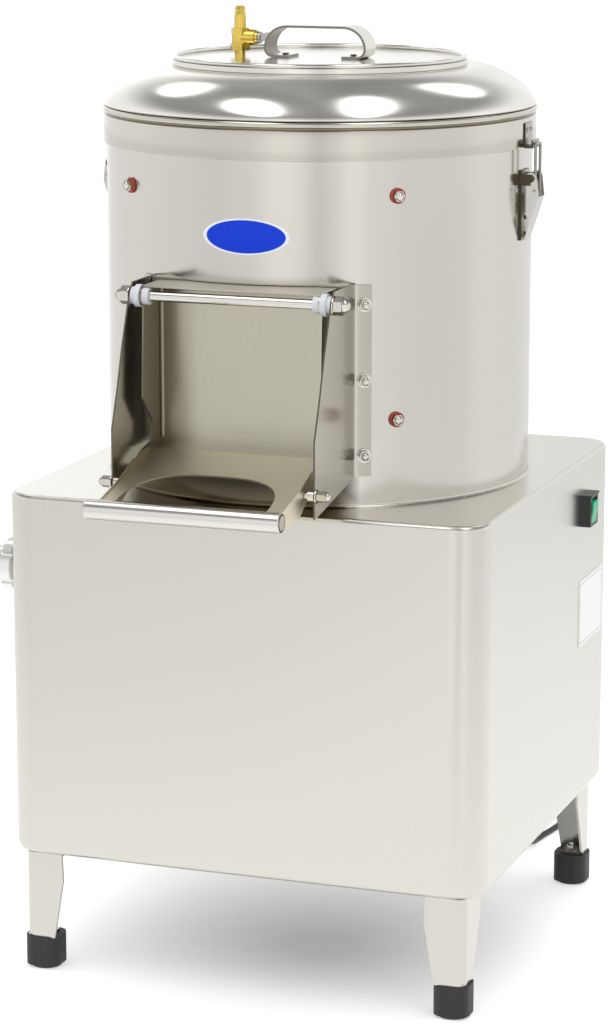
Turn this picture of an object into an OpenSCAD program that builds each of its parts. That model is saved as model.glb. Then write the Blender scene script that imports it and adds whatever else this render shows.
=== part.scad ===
// Electric potato peeler: a sheet-steel cabinet on four legs, a drum with a
// turning abrasive disc, a lift-off lid with a water inlet and a discharge chute.
// Millimetres. The origin is on the floor under the middle of the machine, +Z up,
// the chute faces -Y and the switch is on +X.

/* [Cabinet] */
// Width of the cabinet from side to side
cabinet_w = 500; // [490:5:600]
// Depth of the cabinet from front to back
cabinet_d = 490; // [485:5:600]
// Height of the cabinet walls
cabinet_h = 373; // [360:1:450]
// Height of the cabinet's underside above the floor
underside_z = 124; // [100:1:170]
// Radius of the upright corners
corner_r = 33; // [20:1:45]
// Thickness of the cabinet sheet
cabinet_t = 1.5; // [1.2:0.1:2.5]
// Bend radius of the top edge
top_edge_r = 5; // [3:0.5:8]
// Bend radius of the bottom edge
bottom_edge_r = 9; // [4:0.5:12]
// Width of the flange round the open underside
flange_w = 42; // [40:1:50]
// Width of the opening in the rear wall
rear_opening_w = 340; // [280:5:360]
// Height of the opening in the rear wall
rear_opening_h = 270; // [230:5:280]
// Overlap of the rear panel round its opening
panel_lap = 14; // [12:1:18]
// Number of louvre rows in the rear panel
louvre_rows = 6; // [3:1:6]
// Length of one louvre
louvre_l = 110; // [60:5:130]

/* [Legs] */
// Inset of the leg faces from the cabinet's sides
leg_inset_x = 15.5; // [10:0.5:20]
// Inset of the leg faces from the cabinet's front and back
leg_inset_y = 7.5; // [6:0.5:14]
// Thickness of the leg sheet
leg_t = 2.5; // [2:0.1:4]
// Outer bend radius of a leg
leg_bend_r = 10; // [7:0.5:11]
// Width of a leg's front face at the top
leg_face_w = 42; // [38:1:50]
// Width of a leg's side face at the top
leg_side_w = 53; // [48:1:60]
// Width of a leg's front face at the foot
leg_toe_w = 31.7; // [28:0.1:34]
// Width of a leg's side face at the foot
leg_toe_side_w = 27.6; // [26:0.1:34]
// Height of the straight part of a leg below the cabinet
leg_knee_drop = 28; // [15:1:40]
// Height of a rubber foot
foot_h = 34; // [25:1:40]
// Width of a rubber foot
foot_w = 36.4; // [36:0.1:42]

/* [Drum] */
// Outside radius of the drum
drum_r = 216.3; // [205:0.1:222]
// Thickness of the drum wall
drum_t = 1.5; // [1.2:0.1:2]
// Height of the drum wall above the cabinet
drum_h = 368; // [360:1:420]
// Depth of the sump below the cabinet's top
sump_depth = 45; // [40:1:52]
// Radius of the sump pan inside
sump_r = 200; // [190:0.5:201]
// Thickness of the sump sheet
sump_t = 1.5; // [1.2:0.1:2.5]
// Thickness of the abrasive liner
liner_t = 4; // [2:0.5:6]
// Height of the abrasive liner
liner_h = 270; // [250:1:300]

/* [Abrasive disc] */
// Radius of the turning disc
disc_r = 196; // [180:0.5:197]
// Height of the disc's underside above the sump floor
disc_lift = 70; // [66:1:76]
// Thickness of the disc
disc_t = 12; // [8:0.5:16]
// Height of the wave ridges on the disc
ridge_h = 12; // [6:0.5:18]
// Number of wave ridges
ridge_count = 3; // [2:1:4]
// Radius of the spindle
spindle_r = 12; // [10:0.5:13]

/* [Chute] */
// Distance from the middle to the inner face of a cheek
cheek_x = 102; // [98:0.5:108]
// Thickness of a cheek
cheek_t = 1.75; // [1.5:0.05:3]
// Height of the bottom of the mouth above the cabinet's top
mouth_z = 67; // [66:1:72]
// Height of the mouth opening
mouth_h = 122; // [100:1:124]
// Half of the width of the mouth opening
mouth_x = 80; // [70:1:84]
// Distance of the mouth frame in front of the drum's axis
frame_y = 205; // [204:0.5:205]
// Thickness of the rubber door seal
seal_t = 3.7; // [3:0.1:3.7]
// Radius of the door's hinge rod
rod_r = 5; // [4:0.1:5.5]
// Distance of the hinge rod in front of the drum's axis
rod_y = 252.5; // [248:0.5:256]
// Height of the hinge rod above the cabinet's top
rod_z = 207.4; // [205:0.2:210]
// Radius of the nylon spacers on the rod
spacer_r = 11; // [9:0.1:11.5]
// Half of the width of the door
door_x = 92; // [88:0.5:93]
// Thickness of the door sheet
door_t = 1.5; // [1.2:0.1:2]
// Radius of the handle bar on the tray
bar_r = 9.75; // [8:0.05:11]
// Distance of the handle bar in front of the drum's axis
bar_y = 383; // [375:1:395]
// Half of the length of the handle bar
bar_x = 96; // [94:0.5:99]
// Opening angle of the door
door_open_deg = 65; // [30:1:65]

/* [Lid] */
// Height of the lid's skirt
skirt_h = 32; // [30:0.5:40]
// Thickness of the lid's sheet
lid_t = 1.8; // [1.5:0.1:2.2]
// Clearance between the skirt and the drum
skirt_gap = 1.3; // [1:0.1:2]
// Radial depth of the dome's rounded shoulder
shoulder_w = 57.9; // [50:0.5:65]
// Height of the dome's rounded shoulder
shoulder_h = 38.3; // [32:0.1:44]
// Radius of the raised rim on the lid
plateau_r = 149.5; // [140:0.5:152]
// Height of the raised rim above the dome
plateau_h = 8.5; // [7:0.1:12]
// Half of the length of the lid's handle
handle_x = 54.5; // [48:0.5:60]
// Half of the length of the flat on top of the lid's handle
handle_top_x = 30; // [26:0.5:38]
// Height of the lid's handle above the rim
handle_h = 32.5; // [26:0.5:40]
// Width of the handle strap
strap_w = 32; // [24:1:36]
// Thickness of the handle strap
strap_t = 2.5; // [2:0.1:3.5]
// Lift of the lid off the drum
lid_lift = 250; // [100:5:300]

/* [Water inlet] */
// Distance of the inlet from the lid's middle
inlet_x = 86; // [80:0.5:95]
// Radius of the hose barb
barb_r = 6; // [5:0.1:8]
// Length of the hose barb's plain end
barb_l = 13; // [11:0.5:20]
// Turn of the valve lever from open to closed
valve_turn_deg = 90; // [45:1:90]

/* [Latches] */
// Width of a latch lever
latch_w = 24; // [20:0.5:28]
// Length of a latch lever
latch_l = 70; // [62:1:80]
// Swing of a latch lever
latch_swing_deg = 100; // [60:1:100]

/* [Switch and plates] */
// Width of the switch housing
switch_w = 30; // [28:0.5:34]
// Height of the switch housing
switch_h = 32; // [30:0.5:38]
// Rocking angle of the switch
rocker_deg = 12; // [6:0.5:14]
// Width of the blank rating plate
plate_w = 92; // [60:1:96]
// Height of the blank rating plate
plate_h = 71.5; // [50:0.5:80]
// Width of the oval badge
badge_w = 89; // [70:1:100]
// Height of the oval badge
badge_h = 35; // [25:1:45]

/* [Drain] */
// Radius of the drain pipe
drain_r = 19; // [16:0.5:20]
// Distance of the drain in front of the drum's axis
drain_y = 100; // [90:1:110]
// Height of the drain above the floor
drain_z = 390; // [380:1:396]
// Length of the drain beyond the cabinet's side
drain_reach = 100; // [85:1:120]

/* [Drive] */
// Radius of the motor
motor_r = 62; // [55:0.5:66]
// Height of the motor
motor_h = 165; // [140:1:170]
// Radius of the driven pulley
driven_r = 91; // [80:0.5:96]
// Radius of the motor's pulley
drive_r = 26; // [22:0.5:30]
// Width of the belt
belt_w = 10; // [8:0.5:12]
// Running clearance of turning fits
run_gap = 0.05; // [0.03:0.01:0.1]

/* [Cord] */
// Radius of the mains cord
cord_r = 3.5; // [3.5:0.5:3.5]

/* [Hidden] */
$fn = 96;
eps = 0.01;
steel = [0.78, 0.78, 0.76];
rubber = [0.09, 0.09, 0.1];

// Heights that the pieces share
top_z = underside_z + cabinet_h;
drum_top = top_z + drum_h;
gasket_t = 1.4;
skirt_top = drum_top + gasket_t;
bead_h = 6.1;
dome_z = skirt_top + bead_h;
lid_r = drum_r + skirt_gap + lid_t;
plateau_z = dome_z + shoulder_h + plateau_h;
sump_z = top_z - sump_depth;

// The discharge mouth and its door
mouth_floor = top_z + mouth_z;
mouth_roof = mouth_floor + mouth_h;
frame_x = cheek_x - 0.5;
frame_t = 1.5;
frame_low = top_z + 31;
frame_high = top_z + 219.5;
rod_height = top_z + rod_z;
door_back = frame_y + seal_t + 0.3;
door_top = frame_high - 2;
door_floor = mouth_floor - 11;
bar_z = door_floor - 33;
stop_y = 303;
stop_z = top_z + 33;
tray_slope = (door_floor - 1 - bar_z) / (bar_y - 238);

// Latches: the lever's pivot, the bail's pivot and the bail's bar
pivot_x = drum_r + 10;
pivot_z = drum_top - 61;
bail_x = pivot_x + 3.8;
bail_z = pivot_z - 12;
bar_top_z = drum_top - 27;

// Drive: the motor stands beside the spindle
motor_x = 105;
motor_y = 127;
plate_z = top_z - 165;
belt_z = top_z - 146;
shaft_gap = norm([motor_x, motor_y]);

// Switch and blank plate on the cabinet's right side
switch_y = 133;
switch_z = top_z - 56;
switch_out = 10.3;
rocker_out = 12;
plate_y = 162;
plate_mid_z = top_z - 167;

// Gland and cord
gland_x = 140;
gland_z = underside_z + 26;
thread_r = 8;

// The whole is centred over the origin from the pieces that reach furthest
reach_left = cabinet_w / 2 + drain_reach;
reach_right = cabinet_w / 2 + rocker_out;
reach_front = bar_y + bar_r;
reach_rear = cabinet_d / 2 + cabinet_t + 2.5;
home = [(reach_left - reach_right) / 2, (reach_front - reach_rear) / 2, 0];

module at_home() { translate(home) children(); }

// Copies a piece to the other side of the machine
module both_sides() {
    children();
    mirror([1, 0, 0]) children();
}

module ring(outer, inner, h) {
    difference() {
        cylinder(r = outer, h = h);
        translate([0, 0, -1]) cylinder(r = inner, h = h + 2);
    }
}

// A slice of a ring from angle a0 to a1, measured from -Y towards +X
module arc_plate(outer, inner, h, a0, a1) {
    rotate([0, 0, a0 - 90]) rotate_extrude(angle = a1 - a0)
        translate([inner, 0]) square([outer - inner, h]);
}

// Lies along X from x0 to x1
module rod_x(r, x0, x1) {
    translate([x0, 0, 0]) rotate([0, 90, 0]) cylinder(r = r, h = x1 - x0);
}

// Lies along Y from y0 to y1
module rod_y_dir(r, y0, y1) {
    translate([0, y0, 0]) rotate([-90, 0, 0]) cylinder(r = r, h = y1 - y0);
}

// A hexagon prism along Z, across flats af
module hex(af, h) { cylinder(r = af / sqrt(3), h = h, $fn = 6); }

// A dome nut along Z with a round washer under it
module dome_nut(af, washer_r, bore, hex_h = 4.5) {
    difference() {
        union() {
            cylinder(r = washer_r, h = 1.2);
            translate([0, 0, 1.2]) hex(af, hex_h);
            translate([0, 0, 1.2 + hex_h]) intersection() {
                sphere(r = af * 0.42);
                cylinder(r = af, h = af);
            }
        }
        translate([0, 0, -1]) cylinder(r = bore, h = 5);
    }
}

function arc_points(c, r, a0, a1, n) =
    [for (i = [0:n]) let (a = a0 + (a1 - a0) * i / n) c + r * [cos(a), sin(a)]];

function unit(v) = v / max(norm(v), 1e-9);

function side_step(p, i) = let (n = len(p),
    a = unit(p[max(i, 1)] - p[max(i, 1) - 1]),
    b = unit(p[min(i + 1, n - 1)] - p[min(i + 1, n - 1) - 1]),
    m = unit([-a[1] - b[1], a[0] + b[0]]))
    m / max(0.5, m * [-a[1], a[0]]);

// A strip of sheet of thickness t whose left side follows the points p
module strip(p, t) {
    polygon(concat(p, [for (i = [len(p) - 1:-1:0]) p[i] - t * side_step(p, i)]));
}

// Cabinet -----------------------------------------------------------------

// Half of a wall's section, from the corner's centre out, rounded above and below
module wall_section(r, h, r_top, r_low) {
    square([r - max(r_top, r_low), h]);
    translate([0, r_low]) square([r, h - r_top - r_low]);
    square([r - r_low, h / 2]);
    translate([0, h / 2]) square([r - r_top, h / 2]);
    translate([r - r_top, h - r_top]) circle(r = r_top);
    translate([r - r_low, r_low]) circle(r = r_low);
}

module rounded_block(w, d, h, r, r_top, r_low) {
    translate([-w / 2 + r, -d / 2 + r, 0]) cube([w - 2 * r, d - 2 * r, h]);
    for (side = [0, 1]) rotate([0, 0, 180 * side]) {
        translate([w / 2 - r, d / 2 - r, 0]) rotate([90, 0, 0])
            linear_extrude(d - 2 * r) wall_section(r, h, r_top, r_low);
        translate([-w / 2 + r, d / 2 - r, 0]) rotate([0, 0, 90]) rotate([90, 0, 0])
            linear_extrude(w - 2 * r) wall_section(r, h, r_top, r_low);
        translate([w / 2 - r, d / 2 - r, 0])
            rotate_extrude(angle = 90) wall_section(r, h, r_top, r_low);
        translate([-w / 2 + r, d / 2 - r, 0])
            rotate([0, 0, 90]) rotate_extrude(angle = 90) wall_section(r, h, r_top, r_low);
    }
}

// Places that the rear panel's screws and their holes share
function panel_screws() = [for (sx = [-1, 1], k = [-1:1])
    [sx * (rear_opening_w / 2 + panel_lap / 2), rear_mid + k * rear_opening_h * 0.4]];
rear_mid = top_z - 28 - rear_opening_h / 2;

// Places that the leg bolts and their holes share, from a leg's outer corner
front_tab = [28, 14];
side_tab = [14, 40];

module leg_bolt_places() {
    for (sx = [-1, 1], sy = [-1, 1], p = [front_tab, side_tab])
        translate([sx * (cabinet_w / 2 - leg_inset_x - p[0]),
                   sy * (cabinet_d / 2 - leg_inset_y - p[1]), 0]) children();
}

module cabinet_shell() {
    t = cabinet_t;
    color(steel) at_home() difference() {
        translate([0, 0, underside_z])
            rounded_block(cabinet_w, cabinet_d, cabinet_h, corner_r, top_edge_r, bottom_edge_r);
        translate([0, 0, underside_z + t])
            rounded_block(cabinet_w - 2 * t, cabinet_d - 2 * t, cabinet_h - 2 * t,
                          corner_r - t, top_edge_r - t, bottom_edge_r - t);
        translate([-cabinet_w / 2 + flange_w, -cabinet_d / 2 + flange_w, underside_z - 1])
            cube([cabinet_w - 2 * flange_w, cabinet_d - 2 * flange_w, t + 2]);
        translate([0, 0, top_z - t - 1]) cylinder(r = sump_r + sump_t, h = t + 2);
        translate([-rear_opening_w / 2, cabinet_d / 2 - t - 1, rear_mid - rear_opening_h / 2])
            cube([rear_opening_w, t + 2, rear_opening_h]);
        for (p = panel_screws()) translate([p[0], 0, p[1]])
            rod_y_dir(2, cabinet_d / 2 - t - 1, cabinet_d / 2 + 1);
        translate([0, -drain_y, drain_z]) rod_x(drain_r, -cabinet_w / 2 - 1, -cabinet_w / 2 + t + 1);
        translate([cabinet_w / 2 - t - 1, switch_y - switch_w / 2 + 2, switch_z - switch_h / 2 + 1])
            cube([t + 2, switch_w - 4, switch_h - 2]);
        translate([gland_x, 0, gland_z])
            rod_y_dir(thread_r, cabinet_d / 2 - t - 1, cabinet_d / 2 + 1);
        leg_bolt_places() translate([0, 0, underside_z - 1]) cylinder(r = 3, h = t + 2);
    }
}

module rear_panel() {
    w = rear_opening_w + 2 * panel_lap;
    h = rear_opening_h + 2 * panel_lap;
    t = cabinet_t;
    y = cabinet_d / 2;
    hood = 7;
    color(steel) at_home() difference() {
        union() {
            translate([-w / 2, y, rear_mid - h / 2]) cube([w, t, h]);
            for (sx = [-1, 1], k = [0:louvre_rows - 1]) louvre_place(sx, k) intersection() {
                rod_x(hood, -louvre_l / 2, louvre_l / 2);
                translate([-louvre_l / 2 - 1, -hood - 1, -1]) cube([louvre_l + 2, hood + 1, hood + 2]);
            }
        }
        for (sx = [-1, 1], k = [0:louvre_rows - 1]) louvre_place(sx, k) intersection() {
            rod_x(hood - t, -louvre_l / 2 + t, louvre_l / 2 - t);
            translate([-louvre_l / 2, -hood - 1, -2]) cube([louvre_l, hood + 3, hood + 3]);
        }
        for (p = panel_screws()) translate([p[0], 0, p[1]]) rod_y_dir(2, y - 1, y + t + 1);
    }
}

// Each hood bulges inward, so that the rear face stays flat outside
module louvre_place(sx, k) {
    step = rear_opening_h / (louvre_rows + 0.6);
    translate([sx * (rear_opening_w / 4 - 2), cabinet_d / 2 + cabinet_t,
               rear_mid + (k - (louvre_rows - 1) / 2) * step]) children();
}

module rear_panel_screws() {
    y = cabinet_d / 2 + cabinet_t;
    color(steel) at_home() for (p = panel_screws()) translate([p[0], y, p[1]])
        rotate([-90, 0, 0]) difference() {
            union() {
                cylinder(r = 4, h = 1.2);
                translate([0, 0, 1.2]) intersection() {
                    translate([0, 0, -5.6]) sphere(r = 6.9);
                    cylinder(r = 4, h = 1.3);
                }
                translate([0, 0, -cabinet_t * 2 - 5]) cylinder(r = 2, h = cabinet_t * 2 + 5);
            }
            translate([-5, -0.5, 1.4]) cube([10, 1, 2]);
        }
}

// Legs --------------------------------------------------------------------

leg_x = cabinet_w / 2 - leg_inset_x;
leg_y = cabinet_d / 2 - leg_inset_y;
foot_inset = foot_w / 2 - 2.7;
bracket_w = 24;

// The L of a leg seen from above; its outer corner is at the origin
module leg_angle(w, d) {
    difference() {
        union() {
            translate([leg_bend_r, 0]) square([w - leg_bend_r, d]);
            translate([0, leg_bend_r]) square([w, d - leg_bend_r]);
            translate([leg_bend_r, leg_bend_r]) circle(r = leg_bend_r);
        }
        translate([leg_bend_r, leg_t]) square([w, d]);
        translate([leg_t, leg_bend_r]) square([w, d]);
        translate([leg_bend_r, leg_bend_r]) circle(r = leg_bend_r - leg_t);
    }
}

// A face that narrows from the knee to the foot
module leg_face(top_w, toe_w) {
    polygon([[-1, foot_h], [toe_w, foot_h], [top_w, underside_z - leg_knee_drop],
             [top_w - 1, underside_z], [-1, underside_z]]);
}

module leg(sx, sy) {
    color(steel) at_home() translate([sx * leg_x, sy * leg_y, 0])
        mirror([sx > 0 ? 1 : 0, 0, 0]) mirror([0, sy > 0 ? 1 : 0, 0]) difference() {
            union() {
                intersection() {
                    linear_extrude(underside_z) leg_angle(leg_face_w + 2, leg_side_w + 2);
                    translate([0, leg_side_w + 3, 0]) rotate([90, 0, 0])
                        linear_extrude(leg_side_w + 4) leg_face(leg_face_w, leg_toe_w);
                    translate([-1, 0, 0]) rotate([90, 0, 90])
                        linear_extrude(leg_face_w + 4) leg_face(leg_side_w, leg_toe_side_w);
                }
                translate([leg_bend_r + 4, 0.5, underside_z - leg_t])
                    cube([leg_face_w - leg_bend_r - 5, 26, leg_t]);
                translate([0.5, 28.5, underside_z - leg_t])
                    cube([26, leg_side_w - 30, leg_t]);
                translate([leg_t - 0.5, leg_t - 0.5, foot_h]) cube([bracket_w, bracket_w, leg_t]);
            }
            for (p = [front_tab, side_tab]) translate([p[0], p[1], underside_z - 10])
                cylinder(r = 3, h = 12);
            translate([foot_inset, foot_inset, foot_h - 1]) cylinder(r = 3, h = leg_t + 2);
        }
}

module leg_front_left() { leg(-1, -1); }
module leg_front_right() { leg(1, -1); }
module leg_rear_left() { leg(-1, 1); }
module leg_rear_right() { leg(1, 1); }

module foot_places() {
    for (sx = [-1, 1], sy = [-1, 1])
        translate([sx * (leg_x - foot_inset), sy * (leg_y - foot_inset), 0]) children();
}

module rubber_feet() {
    r = foot_w / 2;
    soft = 12;
    color(rubber) at_home() foot_places() difference() {
        union() {
            translate([-r + soft, -r, 3]) cube([foot_w - 2 * soft, foot_w, foot_h - 3]);
            translate([-r, -r + soft, 3]) cube([foot_w, foot_w - 2 * soft, foot_h - 3]);
            for (sx = [-1, 1], sy = [-1, 1]) translate([sx * (r - soft), sy * (r - soft), 3])
                cylinder(r = soft, h = foot_h - 3);
            cylinder(r1 = r - 3, r2 = r - 1, h = 3);
        }
        translate([0, 0, foot_h - 18]) cylinder(r = 3, h = 20);
    }
}

module leg_bolts() {
    color(steel) at_home() {
        leg_bolt_places() translate([0, 0, underside_z]) {
            translate([0, 0, -leg_t - 4]) hex(10, 4);
            translate([0, 0, -leg_t]) cylinder(r = 3, h = leg_t + cabinet_t);
            translate([0, 0, cabinet_t]) hex(10, 5);
        }
        foot_places() translate([0, 0, foot_h - 18]) {
            cylinder(r = 3, h = 18 + leg_t);
            translate([0, 0, 18 + leg_t]) hex(10, 5);
            translate([0, 0, 18 + leg_t + 5]) cylinder(r = 3, h = 3);
        }
    }
}

// Drum --------------------------------------------------------------------

mouth_angle = 32;
bolt_angles = [39.6, -39.6, 140.4, -140.4];
bolt_heights = [top_z + 85.5, top_z + 303.4];
liner_low = top_z + 20;
liner_step = 1.5;
bore_m6 = 3;

// Places on the drum's wall, with +Z turned to point outward
module drum_bolt_places() {
    for (a = bolt_angles, z = bolt_heights)
        rotate([0, 0, a]) translate([0, -drum_r, z]) rotate([90, 0, 0]) children();
}

module chute_bolt_places(side) {
    for (k = [0:2]) rotate([0, 0, side * flange_angle])
        translate([0, -drum_r - flange_t, frame_low + 20.5 + k * bolt_step])
        rotate([90, 0, 0]) children();
}

flange_t = 1.75;
flange_angle = 30.8;
bolt_step = 74;

module drum_wall() {
    color(steel) at_home() difference() {
        translate([0, 0, top_z]) ring(drum_r, drum_r - drum_t, drum_h);
        translate([-frame_x, -drum_r - 5, frame_low]) cube([2 * frame_x, drum_r - 145, frame_high - frame_low]);
        drum_bolt_places() translate([0, 0, -drum_t - 2]) cylinder(r = bore_m6, h = drum_t + 4);
        for (side = [-1, 1]) chute_bolt_places(side)
            translate([0, 0, -drum_t - flange_t - 2]) cylinder(r = bore_m6, h = drum_t + flange_t + 3);
    }
}

sump_out = [-147, -drain_y];
pipe_t = 2.5;

module sump_pan() {
    color(steel) at_home() difference() {
        union() {
            translate([0, 0, sump_z - sump_t]) cylinder(r = sump_r + sump_t, h = sump_depth + sump_t);
            translate([0, 0, top_z]) cylinder(r = drum_r - drum_t, h = sump_t);
        }
        translate([0, 0, sump_z]) cylinder(r = sump_r, h = sump_depth + sump_t + 1);
        translate([0, 0, sump_z - sump_t - 1]) cylinder(r = housing_r, h = sump_t + 2);
        translate([sump_out[0], sump_out[1], sump_z - sump_t - 1])
            cylinder(r = drain_r - pipe_t, h = sump_t + 2);
    }
}

// A stub under the sump, a bend and a run out through the cabinet's side
module drain_pipe() {
    bend = drain_r + 6;
    color(steel) at_home() difference() {
        drain_path(drain_r - neck_step, bend);
        drain_path(drain_r - pipe_t, bend, 1);
    }
}

module drain_path(r, bend, past = 0) {
    x = sump_out[0];
    translate([x, -drain_y, drain_z + bend]) cylinder(r = r, h = sump_z - sump_t - drain_z - bend + past);
    translate([x - bend, -drain_y, drain_z + bend]) rotate([90, 0, 0])
        rotate_extrude(angle = -90) translate([bend, 0]) circle(r = r);
    translate([0, -drain_y, drain_z]) rod_x(r, -cabinet_w / 2 - drain_reach / 2 - past, x - bend);
}

nut_near = cabinet_w / 2 + drain_reach * 0.46;
nut_w = 13;
nut_lap = drain_reach / 2 - drain_reach * 0.46;
neck_step = 0.6;

module drain_union_nut() {
    color(steel) at_home() translate([-nut_near - nut_w, -drain_y, drain_z])
        rotate([0, 90, 0]) difference() {
            union() {
                translate([0, 0, 1.5]) cylinder(r = drain_r * 1.474, h = nut_w - 3);
                cylinder(r1 = drain_r * 1.474 - 1.5, r2 = drain_r * 1.474, h = 1.5);
                translate([0, 0, nut_w - 1.5])
                    cylinder(r1 = drain_r * 1.474, r2 = drain_r * 1.474 - 1.5, h = 1.5);
            }
            translate([0, 0, -1]) cylinder(r = drain_r + neck_step, h = nut_w - nut_lap + 1);
            cylinder(r = drain_r - neck_step, h = nut_w + 2);
            for (k = [0:5]) rotate([0, 0, 60 * k]) translate([drain_r * 1.474, 0, -1])
                cylinder(r = 3, h = nut_w + 2);
        }
}

// The plain end that a drain hose is clamped on
// The tail has a plain end for the hose and a collar that the union nut holds
module drain_hose_tail() {
    plain = reach_left - nut_near - nut_w - 0.5;
    color(steel) at_home() translate([-reach_left, -drain_y, drain_z]) rotate([0, 90, 0]) difference() {
        union() {
            cylinder(r = drain_r, h = plain);
            translate([0, 0, plain]) cylinder(r = drain_r + neck_step, h = drain_reach / 2 - plain);
        }
        translate([0, 0, -1]) cylinder(r = drain_r - pipe_t, h = drain_reach / 2 + 2);
    }
}

module liner_panels() {
    outer = drum_r - drum_t;
    span = (360 - 2 * mouth_angle) / 3;
    seam = 0.6;
    color([0.3, 0.31, 0.3]) at_home() difference() {
        for (k = [0:2]) translate([0, 0, liner_low])
            arc_plate(outer, outer - liner_t, liner_h,
                      mouth_angle + k * span + seam, mouth_angle + (k + 1) * span - seam);
        drum_bolt_places() translate([0, 0, -drum_t - liner_t - 2])
            cylinder(r = bore_m6, h = liner_t + 4);
    }
}

module liner_bolts() {
    color(steel) at_home() drum_bolt_places() {
        translate([0, 0, washer_t]) hex(10, 4);
        translate([0, 0, washer_t + 4]) intersection() {
            translate([0, 0, -1]) sphere(r = 4.6);
            cylinder(r = 5, h = 5);
        }
        translate([0, 0, -drum_t - liner_t - 5]) cylinder(r = bore_m6, h = drum_t + liner_t + 5 + washer_t);
        translate([0, 0, -drum_t - liner_t - 5]) hex(10, 4);
    }
}

washer_t = 2.2;
washer_r = 7.6;

module liner_washers() {
    color([0.62, 0.2, 0.16]) at_home() drum_bolt_places() ring(washer_r, bore_m6, washer_t);
}

// Chute -------------------------------------------------------------------

// Outline of a cheek: distances in front of the drum's axis, and heights
cheek_back = sqrt(drum_r * drum_r - cheek_x * cheek_x) + 0.02;

module cheek_outline() {
    polygon([
        [cheek_back, frame_low], [cheek_back, frame_high + 1], [rod_y - 1, frame_high + 1],
        [rod_y + 3.5, frame_high - 4.5], [rod_y + 10.5, frame_high - 16],
        [rod_y + 27.5, frame_high - 59.5], [stop_y - 11, frame_high - 96],
        [stop_y + 1.5, frame_high - 128.5], [stop_y + 4, frame_high - 134],
        [stop_y + 4, stop_z - 22], [stop_y - 1, stop_z - 21.2]
    ]);
}

module chute_cheek(side) {
    color(steel) at_home() mirror([side < 0 ? 1 : 0, 0, 0]) difference() {
        union() {
            translate([cheek_x, 0, 0]) rotate([90, 0, 90]) mirror([1, 0, 0])
                linear_extrude(cheek_t) cheek_outline();
            difference() {
                translate([0, 0, frame_low])
                    arc_plate(drum_r + flange_t, drum_r, frame_high - frame_low - 0.5,
                              asin(cheek_x / drum_r) + 0.15, 32.8);
                translate([0, -drum_r, frame_low - 1]) cube([cheek_x, 60, frame_high]);
            }
        }
        translate([0, -rod_y, rod_height]) rod_x(rod_r, cheek_x - 5, cheek_x + 8);
        translate([0, -stop_y, stop_z]) rod_x(bore_m6, cheek_x - 5, cheek_x + 8);
        chute_bolt_places(1) translate([0, 0, -flange_t - 3]) cylinder(r = bore_m6, h = flange_t + 6);
    }
}

module chute_cheek_right() { chute_cheek(1); }
module chute_cheek_left() { chute_cheek(-1); }

// Flange bolts, stop pins beside the tray and the nuts on the hinge rod
module chute_bolts() {
    color(steel) at_home() {
        for (side = [-1, 1]) chute_bolt_places(side) {
            translate([0, 0, -drum_t - flange_t - 4]) cylinder(r = bore_m6, h = drum_t + flange_t + 6);
            dome_nut(10, 7, 2.5, 5.5);
            translate([0, 0, -drum_t - flange_t - 4]) hex(10, 3.9);
        }
        both_sides() {
            translate([0, -stop_y, stop_z]) {
                rod_x(bore_m6, door_x + 0.6, cheek_x + cheek_t + 2);
                translate([door_x + 4, 0, 0]) rotate([0, 90, 0]) cylinder(r = 5, h = cheek_x - door_x - 4);
                translate([cheek_x + cheek_t, 0, 0]) rotate([0, 90, 0]) dome_nut(10, 7, 2.5, 9.5);
            }
            translate([cheek_x + cheek_t, -rod_y, rod_height]) rotate([0, 90, 0]) dome_nut(16, 9.5, rod_r, 8.5);
        }
    }
}

// The plate round the mouth, with side returns and shelves back to the drum
module mouth_frame() {
    shelf_t = 1.5;
    color(steel) at_home() difference() {
        union() {
            translate([-frame_x, -frame_y, frame_low + shelf_t])
                cube([2 * frame_x, frame_t, frame_high - frame_low - 2 * shelf_t]);
            both_sides() translate([frame_x - frame_t, -frame_y, frame_low + shelf_t])
                cube([frame_t, frame_y - 190, frame_high - frame_low - 2 * shelf_t]);
            for (z = [frame_low, frame_high - shelf_t]) translate([0, 0, z])
                linear_extrude(shelf_t) shelf_outline();
        }
        translate([-mouth_x, -frame_y - 1, mouth_floor]) cube([2 * mouth_x, frame_t + 2, mouth_h]);
    }
}

module shelf_outline() {
    difference() {
        intersection() {
            union() {
                circle(r = drum_r);
                translate([-frame_x, -frame_y]) square([2 * frame_x, 60]);
            }
            translate([-frame_x, -drum_r]) square([2 * frame_x, drum_r - 190]);
        }
        intersection() {
            translate([-frame_x - 1, -frame_y + frame_t]) square([2 * frame_x + 2, 60]);
            circle(r = drum_r - drum_t - liner_t);
        }
    }
}

module door_seal() {
    lap = 9;
    color(rubber) at_home() translate([0, -frame_y, 0]) difference() {
        translate([-mouth_x - 1 - lap, -seal_t, mouth_floor - lap])
            cube([2 * (mouth_x + 1 + lap), seal_t, mouth_h + 2 * lap - 1.5]);
        translate([-mouth_x - 1, -seal_t - 1, mouth_floor - 1])
            cube([2 * mouth_x + 2, seal_t + 2, mouth_h + 3]);
    }
}

// Door --------------------------------------------------------------------

rod_end = cheek_x + cheek_t + 4;
bush_r = 7;
collar_r = door_top - door_t - rod_height - 0.2;

module hinge_rod() {
    color(steel) at_home() translate([0, -rod_y, rod_height]) rod_x(rod_r, -rod_end, rod_end);
}

spacer_l = (cheek_x - door_x) * 0.55;

module rod_spacers() {
    color("white") at_home() both_sides() translate([door_x + 0.4, -rod_y, rod_height])
        rotate([0, 90, 0]) {
            ring(spacer_r, rod_r, spacer_l);
            ring(spacer_r - 2.5, rod_r, cheek_x - door_x - 0.4);
        }
}

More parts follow.
